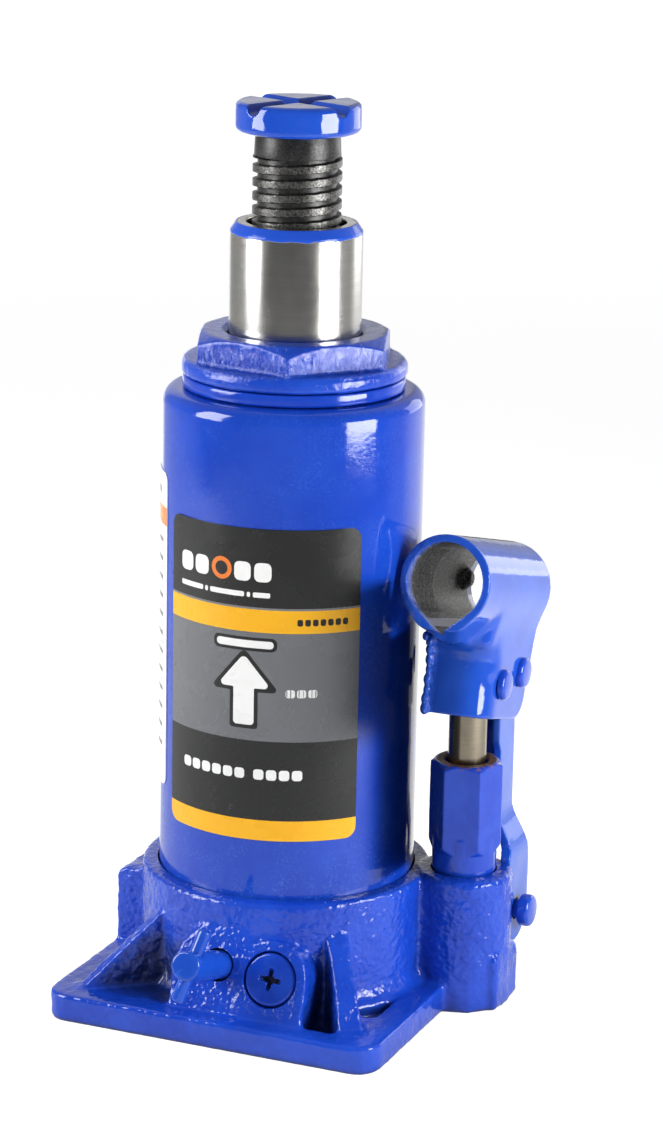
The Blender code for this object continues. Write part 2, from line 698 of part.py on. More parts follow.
# ================================================================ hand pump
def pump_cylinder():
    body = sheet(hexagon(PUMP_HEX_R, PUMP_HEX_TURN), 47.6, PUMP_TOP_Z, PUMP_AXIS)
    chamfer = turned([(0, PUMP_TOP_Z), (9.0, PUMP_TOP_Z), (11.6, PUMP_TOP_Z - 1.6),
                      (11.6, 49.4), (9.2, 47.0), (0, 47.0)], 20, False, PUMP_AXIS)
    neck = turned([(0, 52.0), (PUMP_NECK_R, 52.0), (PUMP_NECK_R, 41.2), (9.3, 41.0),
                   (9.3, 23.8), (8.6, 23.1), (0, 23.1)], 20, False, PUMP_AXIS)
    body = join(common(body, chamfer), neck)
    body = cut(body, rod(PUMP_BORE_R, 10.0, 80.0, 20, PUMP_AXIS))
    finish(body, "pump_cylinder", "pump_paint", (PUMP_X, PUMP_Y, 0))


def pump_washer():
    finish(tube(9.1, 6.3, 21.8, 22.8, 20, PUMP_AXIS), "pump_washer", "washer_copper")


def pump_plunger():
    r = PLUNGER_R
    body = turned([(0, 105.4), (2.6, 105.2), (4.6, 104.2), (r, 102.4), (r, 44.6), (4.0, 44.6),
                   (4.0, 40.0), (r, 40.0), (r, 36.6), (r - 0.6, 36.0), (0, 36.0)],
                  20, False, PUMP_AXIS)
    body = cut(body, pin_bore(PLUNGER_PIN, 40.0, 65.0))
    finish(body, "pump_plunger", "plunger_steel", (PUMP_X, *PLUNGER_PIN))


def plunger_seal():
    finish(tube(5.75, 4.3, 40.3, 44.3, 20, PUMP_AXIS), "plunger_seal", "plunger_seal_rubber",
           (PUMP_X, PUMP_Y, 42.0))


# ================================================================ lever
# half widths and heights of the neck and of the vee under the front of the tube
NECK_HALF = [(10.0, 8.8), (10.3, 12.6), (10.9, 16.6), (12.0, 20.8), (13.1, 24.6)]
VEE_HALF = [(9.8, 18.4), (3.4, 11.2)]
# (y, z) side view of the neck
FLARE = [(SKIRT_NOSE_Y, 2.0), (-13.2, 6.5), (-16.4, 9.8), (-22.0, 12.0), (TUBE_Y0, 14.4),
         (TUBE_Y0, 26.0), (TUBE_Y1, 26.0), (TUBE_Y1, 14.0), (SKIRT_REAR_Y, 9.0),
         (SKIRT_REAR_Y, 2.0)]


def u_plan(half, nose_y, tank_side_r, outside_r, outside_steps, rear_y):
    """U in plan, closed at the front, with a bend of its own on either side."""
    return (arc(PUMP_X - half + tank_side_r, nose_y + tank_side_r, tank_side_r, 180, 270, 4)
            + arc(PUMP_X + half - outside_r, nose_y + outside_r, outside_r, 270, 360,
                  outside_steps)
            + [(PUMP_X + half, rear_y), (PUMP_X - half, rear_y)])


def skirt_plan(inset, rear_y):
    return u_plan(SKIRT_HALF_X - inset, SKIRT_NOSE_Y + inset, SKIRT_TANK_SIDE_R - inset,
                  SKIRT_OUTSIDE_R - inset, 7, rear_y)


def socket_skirt():
    side = arc(SKIRT_REAR_Y - SKIRT_HEEL_R, SKIRT_Z0 + SKIRT_HEEL_R, SKIRT_HEEL_R, 0, -90, 6) \
        + [(-40.0, SKIRT_Z0), (-40.0, 40.0), (SKIRT_REAR_Y, 40.0)]
    return common(sheet(skirt_plan(0.0, SKIRT_REAR_Y), SKIRT_Z0, TUBE_UP - 8.0),
                  sheet(side, *LEVER_SPAN, SIDE))


def socket_neck():
    """The plate flares from the skirt out to the tube, with a vee under the tube's front."""
    plan = u_plan(NECK_HALF_X, NECK_NOSE_Y, NECK_TANK_SIDE_R, NECK_OUTSIDE_R, 6, 40.0)
    vee = common(sheet(mirrored(VEE_HALF) + [(PUMP_X, 24.0)], 8.0, 60.0, FRONT),
                 sheet(FLARE, *LEVER_SPAN, SIDE))
    neck = common(sheet(mirrored(NECK_HALF), -60.0, 60.0, FRONT),
                  sheet(FLARE, *LEVER_SPAN, SIDE), sheet(plan, 0.0, 30.0))
    return join(neck, vee)


def socket_bore():
    """Inside of the rolled tube, drawn down to a point along the bottom."""
    a = math.degrees(math.acos(TUBE_BORE_R / TUBE_SEAM))
    outline = arc(PUMP_X, TUBE_UP, TUBE_BORE_R, -90 + a, 270 - a, 22)
    return sheet(outline + [(PUMP_X, TUBE_UP - TUBE_SEAM)], -60.0, 60.0, FRONT)


def handle_socket():
    """Drawn in the lever's own frame, then tilted about the plunger pin."""
    outline = arc(PUMP_X, TUBE_UP, TUBE_R, 0, 360, 32)[:-1]
    body = join(sheet(outline, -TUBE_Y1, -TUBE_Y0, FRONT), socket_skirt(), socket_neck())
    body = cut(body, socket_bore(), sheet(skirt_plan(SKIRT_WALL, 60.0), -40.0, SKIRT_ROOF))
    # pressed-in stop for the handle, on the tank side near the rear end
    dimple = turned([(0, 4.4), (1.6, 4.1), (3.0, 3.0), (3.8, 0.0), (0, 0.0)], 12, False,
                    shifted(PUMP_X - TUBE_BORE_R - 1.0, 15.5, TUBE_UP + 1.0) @ SIDE)
    body = join(body, dimple)
    body.data.transform(shifted(0, *PLUNGER_PIN)
                        @ Matrix.Rotation(math.radians(-LEVER_TILT), 4, 'X'))
    body = cut(body, pin_bore(PLUNGER_PIN), pin_bore(TOP_PIN))
    finish(body, "handle_socket", "socket_paint", (PUMP_X, *PLUNGER_PIN))


def link_cheek(side):
    """Strip left (-1) or right (+1) of the pump axis, spreading around the base lug."""
    top_in, top_out, foot_in, foot_out = 4.1, 6.5, 8.4, 11.4
    strip = [(top_in, 108.0), (top_out, 108.0), (top_out, 57.0), (foot_out, 44.0),
             (foot_out, 8.0), (foot_in, 8.0), (foot_in, 43.0), (top_in, 56.0)]
    outline = [(PUMP_X + side * w, z) for w, z in strip]
    if side < 0:
        outline.reverse()      # same winding on both sides
    return sheet(outline, -42.0, -14.0, FRONT)


def link():
    """Stamped channel: two cheeks and a rear web."""
    web = box((PUMP_X - 5.5, 32.5, 60.0), (PUMP_X + 5.5, 34.9, 104.2))
    body = join(link_cheek(-1), link_cheek(1), web)
    top_y, top_z = TOP_PIN
    side = ([(21.9, 77.5), (23.6, 74.5), (23.6, 45.0), (20.9, 42.4), (20.9, 24.0)]
            + arc(*BASE_PIN, 10.0, 228, 360, 10)
            + [(37.6, 32.0), (37.0, 42.0), (35.4, 54.0), (34.9, 62.0), (34.9, 98.0)]
            + arc(top_y + 0.2, top_z, 6.5, 0, 9, 1) + arc(top_y + 0.2, top_z, 6.5, 73, 180, 7))
    body = common(body, sheet(side, *LEVER_SPAN, SIDE))
    # lower pivot, and the upper pivot slot with the play that the lever needs
    r = PIN_R + 0.75
    slot = arc(top_y + 0.25, top_z, r, -90, 90, 8) + arc(top_y - 1.75, top_z, r, 90, 270, 8)
    body = cut(body, pin_bore(BASE_PIN), sheet(slot, *LEVER_SPAN, SIDE))
    finish(body, "link", "link_paint", (PUMP_X, *BASE_PIN))


def rivet(name, pin):
    """Pin through the skirt with a head at each end."""
    x0, x1 = PUMP_X - SKIRT_HALF_X - GAP, PUMP_X + SKIRT_HALF_X + GAP
    r, h = RIVET_HEAD_R, RIVET_HEAD_H
    profile = [(0, x1 + h), (r - 1.0, x1 + h), (r, x1 + h - 1.0), (r, x1), (PIN_R, x1),
               (PIN_R, x0), (r - 0.4, x0), (r - 0.4, x0 - h + 0.8), (r - 1.2, x0 - h),
               (0, x0 - h)]
    finish(turned(profile, 16, False, along_x(*pin)), name, "pin_paint", (PUMP_X, *pin))


def link_base_pin():
    """Lower pin, headed on the outside, with a washer clip on the tank side."""
    x0, x1 = PUMP_X - 14.6, PUMP_X + 13.2
    place, origin = along_x(*BASE_PIN), (PUMP_X, *BASE_PIN)
    profile = [(0, x1 + 3.6), (4.0, x1 + 3.6), (4.8, x1 + 2.8), (4.8, x1), (PIN_R, x1),
               (PIN_R, x0), (2.4, x0 - 0.6), (0, x0 - 0.6)]
    finish(turned(profile, 18, False, place), "link_base_pin", "pin_paint", origin)
    finish(tube(5.2, PIN_R + GAP, PUMP_X - 13.2, PUMP_X - 11.8, 18, place),
           "link_pin_clip", "clip_steel", origin)


# ================================================================ valves
def release_valve():
    place = tilted(VALVE_FACE)
    pin_place = place @ shifted(0, 0, CROSS_PIN_UP) @ turned_about_z(CROSS_PIN_TURN) \
        @ frame((1, 0, 0), (0, 0, -1), (0, 1, 0))
    r = VALVE_STEM_R
    stem = turned([(0, 23.9), (r - 0.5, 23.9), (r, 23.4), (r, -3.0), (3.0, -3.0), (3.0, -5.4),
                   (r, -5.4), (r, -17.0), (2.2, -17.8), (1.4, -17.8), (0.9, -17.4),
                   (0, -17.4)], 20, False, place)
    stem = cut(stem, rod(2.25, -12.0, 12.0, 16, pin_place))
    finish(stem, "release_valve_stem", "valve_paint", VALVE_FACE)

    pin = turned([(0, 11.0), (1.4, 11.0), (1.95, 10.4), (1.95, -10.4), (1.4, -11.0),
                  (0, -11.0)], 14, False, pin_place)
    finish(pin, "release_valve_cross_pin", "cross_pin_paint", VALVE_FACE)

    o_ring = turned([(4.5, -3.4), (4.5, -5.0), (3.9, -5.1), (3.3, -5.1), (3.3, -3.3),
                     (3.9, -3.3)], 18, True, place)
    finish(o_ring, "release_valve_o_ring", "o_ring_rubber", VALVE_FACE)
    ball("release_valve_ball", 2.4, inside_bore(VALVE_FACE, RELEASE_BALL_DEPTH), "ball_steel")


# tapered slots of the plug's cross recess: turn in degrees, depth, half width of the
# floor, height of the last point above the face
RECESS_SLOTS = [(-3.0, 3.2, 1.3, 0.8), (87.0, 3.0, 1.2, 0.9)]


def overload_valve_plug():
    place = tilted(PLUG_FACE)
    plug = turned([(0, -0.1), (PLUG_R - 0.9, -0.1), (PLUG_R, -1.0), (PLUG_R, -7.0),
                   (0, -7.0)], 28, False, place)
    bars = []
    for turn, depth, floor, rim in RECESS_SLOTS:
        slot = [(-3.7, 0.8), (-3.2, -0.1), (-floor, -depth), (floor, -depth), (3.2, -0.1),
                (3.7, rim)]
        bars.append(sheet(slot, -0.62, 0.62, place @ turned_about_z(turn) @ FRONT))
    finish(cut(plug, join(*bars)), "overload_valve_plug", "plug_paint")


def overload_spring():
    """Open coil between the plug and the ball."""
    turns, steps, r = 4, 8, 2.7
    z0, z1 = -14.6, -7.9
    curve = bpy.data.curves.new("coil", 'CURVE')
    curve.dimensions = '3D'
    curve.bevel_depth = 0.42 * MM
    curve.bevel_resolution = 0
    curve.use_fill_caps = True
    count = turns * steps
    angles = [2 * math.pi * i / steps for i in range(count + 1)]
    poly_spline(curve, [(r * math.cos(a), r * math.sin(a), z0 + (z1 - z0) * i / count)
                        for i, a in enumerate(angles)])
    obj = tool("coil", curve)
    obj.matrix_world = tilted(PLUG_FACE)
    finish(bake(obj), "overload_spring", "spring_steel")


def loose_balls():
    ball("overload_ball", 2.5, inside_bore(PLUG_FACE, OVERLOAD_BALL_DEPTH),
         "overload_ball_steel")
    ball("suction_ball", 2.5, (PUMP_X, PUMP_Y, 17.0), "check_ball_steel")
    ball("delivery_ball", 2.5, (*DELIVERY, 16.0), "check_ball_steel")


base_casting()
reservoir_tank()
pressure_cylinder()
top_nut()
plain_rings()
ram_wiper()
ram_seal()
filler_plug()
labels()
ram()
extension_screw()
saddle()
screw_stop_ring()
pump_cylinder()
pump_washer()
pump_plunger()
plunger_seal()
handle_socket()
link()
rivet("plunger_pin", PLUNGER_PIN)
rivet("link_top_pin", TOP_PIN)
link_base_pin()
release_valve()
overload_valve_plug()
overload_spring()
loose_balls()
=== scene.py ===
"""Looks of the hydraulic bottle jack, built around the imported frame.

The jack stands on z = 0 with its ram on the Z axis. The hand pump and its lever stand at +X,
the valves face -Y and tilt upward. Shape sizes are in mm unless a comment says otherwise.
"""

import math
from functools import cached_property

import bmesh
import bpy
import numpy as np
from mathutils import Matrix, Vector, noise

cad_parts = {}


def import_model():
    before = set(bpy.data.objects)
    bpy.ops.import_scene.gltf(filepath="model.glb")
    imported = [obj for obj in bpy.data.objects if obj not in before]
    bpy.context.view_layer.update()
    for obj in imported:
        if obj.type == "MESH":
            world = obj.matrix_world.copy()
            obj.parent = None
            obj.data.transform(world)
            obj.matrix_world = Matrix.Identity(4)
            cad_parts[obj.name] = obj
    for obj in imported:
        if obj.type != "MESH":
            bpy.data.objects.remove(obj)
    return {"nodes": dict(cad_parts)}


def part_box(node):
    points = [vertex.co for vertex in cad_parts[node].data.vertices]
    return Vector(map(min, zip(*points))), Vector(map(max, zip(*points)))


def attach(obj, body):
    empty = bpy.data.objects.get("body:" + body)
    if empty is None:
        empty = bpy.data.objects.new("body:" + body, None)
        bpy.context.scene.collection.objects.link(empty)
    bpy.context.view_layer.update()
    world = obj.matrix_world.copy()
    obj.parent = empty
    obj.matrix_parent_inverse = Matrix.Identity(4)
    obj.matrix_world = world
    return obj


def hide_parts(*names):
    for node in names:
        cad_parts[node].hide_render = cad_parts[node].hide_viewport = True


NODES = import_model()["nodes"]
MM = 0.001


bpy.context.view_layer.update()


# ---------------------------------------------------------------- sizes read from the frame
def span(node):
    """Lowest and highest corner of a CAD node in mm."""
    return [[c / MM for c in corner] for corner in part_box(node)]


def centre(node):
    return [(low + high) / 2 for low, high in zip(*span(node))]


_lo, _hi = span("reservoir_tank")
TANK_R, TANK_Z0, TANK_Z1 = _hi[0], _lo[2], _hi[2]
_lo, _hi = span("ram")
RAM_R, RAM_Z0, RAM_TOP = _hi[0], _lo[2], _hi[2]
_lo, _hi = span("saddle")
SADDLE_R, SADDLE_Z0, SADDLE_Z1 = _hi[0], _lo[2], _hi[2]
_lo, _hi = span("base_casting")
PLATE_X, PLATE_Y = -_lo[0], _hi[1]
_lo, _hi = span("top_nut")
FLANGE_R, NUT_TOP = _hi[0], _hi[2]
_lo, _hi = span("handle_socket")
PUMP_X = (_lo[0] + _hi[0]) / 2
TUBE_R = (_hi[0] - _lo[0]) / 2
_lo, _hi = span("pump_cylinder")
PUMP_Y, PUMP_TOP = (_lo[1] + _hi[1]) / 2, _hi[2]

# pin centres in the YZ plane
PLUNGER_PIN = centre("plunger_pin")[1:]
LINK_TOP_PIN = centre("link_top_pin")[1:]
LINK_BASE_PIN = centre("link_base_pin")[1:]

# the lever in its own frame: y along the tube, z across it, from the plunger pin
LEVER_TILT = math.radians(15.07)
TUBE_UP, TUBE_Y0, TUBE_Y1 = 28.0, -31.1, 23.9
SKIRT_FRONT, SKIRT_BACK, SKIRT_Z0, SKIRT_ROOF = -12.3, 22.4, -10.4, 11.0

# centres of the two valve faces
VALVE_TILT = math.radians(18.5)
VALVE = (-0.9, -46.3, 21.5)
PLUG = (15.7, -46.9, 19.9)
VALVE_OUT = (0, -math.cos(VALVE_TILT), math.sin(VALVE_TILT))
VALVE_UP = (0, math.sin(VALVE_TILT), math.cos(VALVE_TILT))


# ---------------------------------------------------------------- places
def axes(x, y, z, origin=(0, 0, 0)):
    """Frame with the given axes at an origin in mm."""
    frame = Matrix([Vector(axis).normalized() for axis in (x, y, z)]).transposed().to_4x4()
    frame.translation = Vector(origin) * MM
    return frame


def at(x, y, z=0.0):
    return Matrix.Translation((x * MM, y * MM, z * MM))


HERE = Matrix.Identity(4)
# outline x, outline y and thickness lie along these axes
SIDE = axes((0, 1, 0), (0, 0, 1), (1, 0, 0))
FRONT = axes((1, 0, 0), (0, 0, 1), (0, -1, 0))
ALONG_Y = axes((0, 0, 1), (1, 0, 0), (0, 1, 0))


def along_x(y, z):
    return at(0, y, z) @ SIDE


def tilted(face):
    """Frame on a valve face, z pointing out of it."""
    return axes(Vector(VALVE_UP).cross(Vector(VALVE_OUT)), VALVE_UP, VALVE_OUT, face)


PUMP_PLACE = at(PUMP_X, PUMP_Y)
VALVE_PLACE = tilted(VALVE)
PLUG_PLACE = tilted(PLUG)


# ---------------------------------------------------------------- mesh helpers
def put(mesh, name="piece"):
    ob = bpy.data.objects.new(name, mesh)
    bpy.context.scene.collection.objects.link(ob)
    return ob


def put_bmesh(bm, name="piece", place=HERE):
    mesh = bpy.data.meshes.new(name)
    bm.to_mesh(mesh)
    bm.free()
    mesh.transform(place)
    return put(mesh, name)


def drop(ob):
    mesh = ob.data
    bpy.data.objects.remove(ob, do_unlink=True)
    if isinstance(mesh, bpy.types.Mesh) and mesh.users == 0:
        bpy.data.meshes.remove(mesh)


def bake(ob, weld=0.0):
    """Apply modifiers and placement; weld is a merging distance in metres."""
    bpy.context.view_layer.update()
    depsgraph = bpy.context.evaluated_depsgraph_get()
    mesh = bpy.data.meshes.new_from_object(ob.evaluated_get(depsgraph))
    mesh.transform(ob.matrix_world)
    if weld > 0:
        bm = bmesh.new()
        bm.from_mesh(mesh)
        bmesh.ops.remove_doubles(bm, verts=bm.verts, dist=weld)
        bmesh.ops.dissolve_degenerate(bm, dist=1e-6, edges=bm.edges)
        bmesh.ops.recalc_face_normals(bm, faces=bm.faces)
        bm.to_mesh(mesh)
        bm.free()
    drop(ob)
    return put(mesh)


def add_modifier(ob, kind, **settings):
    modifier = ob.modifiers.new(kind, kind)
    for key, value in settings.items():
        setattr(modifier, key, value)


def bevel(ob, width, segments, angle=30):
    add_modifier(ob, 'BEVEL', width=width * MM, segments=segments, limit_method='ANGLE',
                 angle_limit=math.radians(angle))
    return bake(ob)


def combine(ob, others, operation):
    for other in others:
        add_modifier(ob, 'BOOLEAN', operation=operation, solver='EXACT', object=other)
        ob = bake(ob, weld=2e-6)
        drop(other)
    return ob


def cut(ob, *others):
    return combine(ob, others, 'DIFFERENCE')


def common(ob, *others):
    return combine(ob, others, 'INTERSECT')


def join(ob, *others):
    return combine(ob, others, 'UNION')


def heap(*obs):
    """Closed solids put in one mesh; a remesh then makes them one skin."""
    bm = bmesh.new()
    for ob in obs:
        bm.from_mesh(ob.data)
        drop(ob)
    return put_bmesh(bm)


def ease(t):
    return t * t * (3 - 2 * t)


def smooth_step(x, start, end):
    return ease(np.clip((x - start) / (end - start), 0, 1))


def arc(x, y, radius, start, end, steps):
    """Points on an arc between two angles in degrees."""
    turns = [math.radians(start + (end - start) * i / steps) for i in range(steps + 1)]
    return [(x + radius * math.cos(turn), y + radius * math.sin(turn)) for turn in turns]


def circle(x, y, radius, steps):
    return arc(x, y, radius, 0, 360, steps)[:-1]


def hexagon(radius, turn):
    angles = [math.radians(turn + 60 * k) for k in range(6)]
    return [(radius * math.sin(a), -radius * math.cos(a)) for a in angles]


def rounded(points, radii, steps=4, closed=False):
    """Outline with its corners rounded; radii is one radius or one per corner."""
    out, count = [], len(points)
    for i, point in enumerate(points):
        radius = radii[i] if isinstance(radii, (list, tuple)) else radii
        corner = Vector(point)
        back = Vector(points[i - 1]) - corner
        ahead = Vector(points[(i + 1) % count]) - corner
        shorter = min(back.length, ahead.length)
        is_end = not closed and i in (0, count - 1)
        if radius <= 0 or is_end or shorter < 1e-6:
            out.append(tuple(point))
            continue
        back, ahead = back / back.length, ahead / ahead.length
        angle = back.angle(ahead)
        if angle > math.pi - 0.06:
            out.append(tuple(point))
            continue
        reach = min(radius / math.tan(angle / 2), shorter * 0.49)
        radius = reach * math.tan(angle / 2)
        middle = corner + (back + ahead).normalized() * (radius / math.sin(angle / 2))
        first, last = corner + back * reach - middle, corner + ahead * reach - middle
        start, end = math.atan2(first.y, first.x), math.atan2(last.y, last.x)
        sweep = (end - start + math.pi) % (2 * math.pi) - math.pi
        for k in range(steps + 1):
            turn = start + sweep * k / steps
            out.append((middle.x + radius * math.cos(turn), middle.y + radius * math.sin(turn)))
    return out


def rounded_rect(x0, y0, x1, y1, radius=0.5, steps=3):
    return rounded([(x0, y0), (x1, y0), (x1, y1), (x0, y1)], radius, steps, True)


def ring_angles(steps):
    return [2 * math.pi * k / steps for k in range(steps)]


def loft(rows, place=HERE, closed=False):
    """Skin over rings of (radius, z) points about Z; a ring of radius 0 becomes one point."""
    steps = len(rows[0])
    turns = [(math.cos(a), math.sin(a)) for a in ring_angles(steps)]
    bm = bmesh.new()
    rings = []
    for row in rows:
        if row[0][0] < 1e-6:
            rings.append([bm.verts.new((0, 0, row[0][1] * MM))])
        else:
            rings.append([bm.verts.new((radius * MM * c, radius * MM * s, z * MM))
                          for (radius, z), (c, s) in zip(row, turns)])
    pairs = list(zip(rings, rings[1:]))
    if closed:
        pairs.append((rings[-1], rings[0]))
    for one, two in pairs:
        for k in range(steps):
            q = (k + 1) % steps
            quad = (one[k % len(one)], two[k % len(two)], two[q % len(two)], one[q % len(one)])
            bm.faces.new(list(dict.fromkeys(quad)))
    bmesh.ops.recalc_face_normals(bm, faces=bm.faces)
    return put_bmesh(bm, place=place)


def turned(profile, steps=96, place=HERE, closed=False):
    """Turn an (r, z) profile about Z."""
    return loft([[point] * steps for point in profile], place, closed)


def rod(radius, z0, z1, steps=64, place=HERE):
    return turned([(0, z1), (radius, z1), (radius, z0), (0, z0)], steps, place)


def add_rows(profile, count, is_wall):
    """Divide the profile's long straight walls so that they can carry slow waves."""
    out = []
    for one, two in zip(profile, profile[1:] + profile[:1]):
        out.append(one)
        if is_wall(one, two):
            out += [(one[0], one[1] + (two[1] - one[1]) * i / count) for i in range(1, count)]
    return out


def box(low, high):
    bm = bmesh.new()
    bmesh.ops.create_cube(bm, size=1.0)
    for v in bm.verts:
        v.co = [((c + 0.5) * (h - l) + l) * MM for c, l, h in zip(v.co, low, high)]
    return put_bmesh(bm)


def sheet(outline, z0, z1, place=HERE):
    """Flat outline given a thickness from z0 to z1."""
    curve = bpy.data.curves.new("outline", 'CURVE')
    curve.dimensions = '2D'
    curve.fill_mode = 'BOTH'
    curve.extrude = (z1 - z0) * 0.5 * MM
    spline = curve.splines.new('POLY')
    spline.points.add(len(outline) - 1)
    for point, (x, y) in zip(spline.points, outline):
        point.co = (x * MM, y * MM, 0.0, 1.0)
    spline.use_cyclic_u = True
    ob = put(curve)
    ob.matrix_world = place @ Matrix.Translation((0, 0, (z1 + z0) * 0.5 * MM))
    return bake(ob, weld=2e-6)


def read_vectors(items, key):
    values = np.zeros(len(items) * 3, np.float32)
    items.foreach_get(key, values)
    return values.reshape(-1, 3).astype(float)


def coords(ob):
    return read_vectors(ob.data.vertices, "co")


def set_coords(ob, points):
    ob.data.vertices.foreach_set("co", points.astype(np.float32).ravel())
    ob.data.update()


def skin(ob, fine, quick=None):
    """One smooth skin over a heap of solids; fine is (voxel mm, smoothing rounds); quick has the
    same form and is not used.
    """
    voxel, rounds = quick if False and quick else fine
    add_modifier(ob, 'REMESH', mode='VOXEL', voxel_size=voxel * MM, use_smooth_shade=True)
    add_modifier(ob, 'SMOOTH', factor=0.5, iterations=rounds)
    return bake(ob)


def grain(ob, layers, mask=None):
    """Push the surface along its normals by smooth noise.

    layers are (size mm, height mm, seed); mask takes points in mm and normals.
    """
    points, normals = coords(ob), read_vectors(ob.data.vertex_normals, "vector")
    push = np.zeros(len(points))
    for size, height, seed in layers:
        k = 1.0 / (size * MM)
        push += height * np.array([noise.noise(Vector((x * k + seed, y * k, z * k)))
                                   for x, y, z in points])
    if mask is not None:
        push *= mask(points / MM, normals)
    set_coords(ob, points + normals * (push * MM)[:, None])
    return ob


def above(start, end):
    """Grain mask that fades in between two heights."""
    return lambda points, normals: smooth_step(points[:, 2], start, end)


def finish(ob, name, material, replaces=None, body="root", sharp=35.0):
    """Name a piece, dress it and tell the frame about it; sharp is in degrees."""
    ob.name = name
    ob.data.name = name
    ob.data.materials.clear()
    for each in material if isinstance(material, list) else [material]:
        ob.data.materials.append(each)
    ob.data.shade_smooth()
    ob.data.set_sharp_from_angle(angle=math.radians(sharp))
    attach(ob, body)
    if replaces:
        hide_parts(replaces)


# ---------------------------------------------------------------- shader nets
class Net:
    """Short spellings for shader nodes; node coordinates are in metres."""

    def __init__(self, owner):
        owner.use_nodes = True
        self.tree = owner.node_tree

    def node(self, kind, **settings):
        node = self.tree.nodes.new("ShaderNode" + kind)
        for key, value in settings.items():
            setattr(node, key, value)
        return node

    def put(self, socket, value):
        if isinstance(value, bpy.types.NodeSocket):
            self.tree.links.new(value, socket)
        elif value is not None:
            if isinstance(value, (tuple, list)) and len(value) == 3 and socket.type == 'RGBA':
                value = (*value, 1.0)
            socket.default_value = value

    def math(self, operation, a, b=None, clamp=False):
        node = self.node("Math", operation=operation, use_clamp=clamp)
        self.put(node.inputs[0], a)
        self.put(node.inputs[1], b)
        return node.outputs[0]

    def add(self, a, b):
        return self.math('ADD', a, b)

    def sub(self, a, b, clamp=False):
        return self.math('SUBTRACT', a, b, clamp)

    def mul(self, a, b):
        return self.math('MULTIPLY', a, b)

    def radius(self, x, y):
        return self.math('SQRT', self.add(self.mul(x, x), self.mul(y, y)))

    def dot(self, vector, direction):
        node = self.node("VectorMath", operation='DOT_PRODUCT')
        self.put(node.inputs[0], vector)
        node.inputs[1].default_value = direction
        return node.outputs["Value"]

    def mix(self, share, a, b):
        """Colour going from a to b as share goes from 0 to 1."""
        node = self.node("Mix", data_type='RGBA')
        for i, value in ((0, share), (6, a), (7, b)):
            self.put(node.inputs[i], value)
        return node.outputs[2]

    def lerp(self, share, a, b):
        """Number going from a to b as share goes from 0 to 1."""
        node = self.node("Mix", data_type='FLOAT')
        for i, value in ((0, share), (2, a), (3, b)):
            self.put(node.inputs[i], value)
        return node.outputs[0]

    def ramp(self, value, span, to=(0.0, 1.0)):
        """Smooth step from to[0] to to[1] while value crosses the span."""
        node = self.node("MapRange", interpolation_type='SMOOTHSTEP')
        for i, number in enumerate((value, *span, *to)):
            self.put(node.inputs[i], number)
        return node.outputs[0]


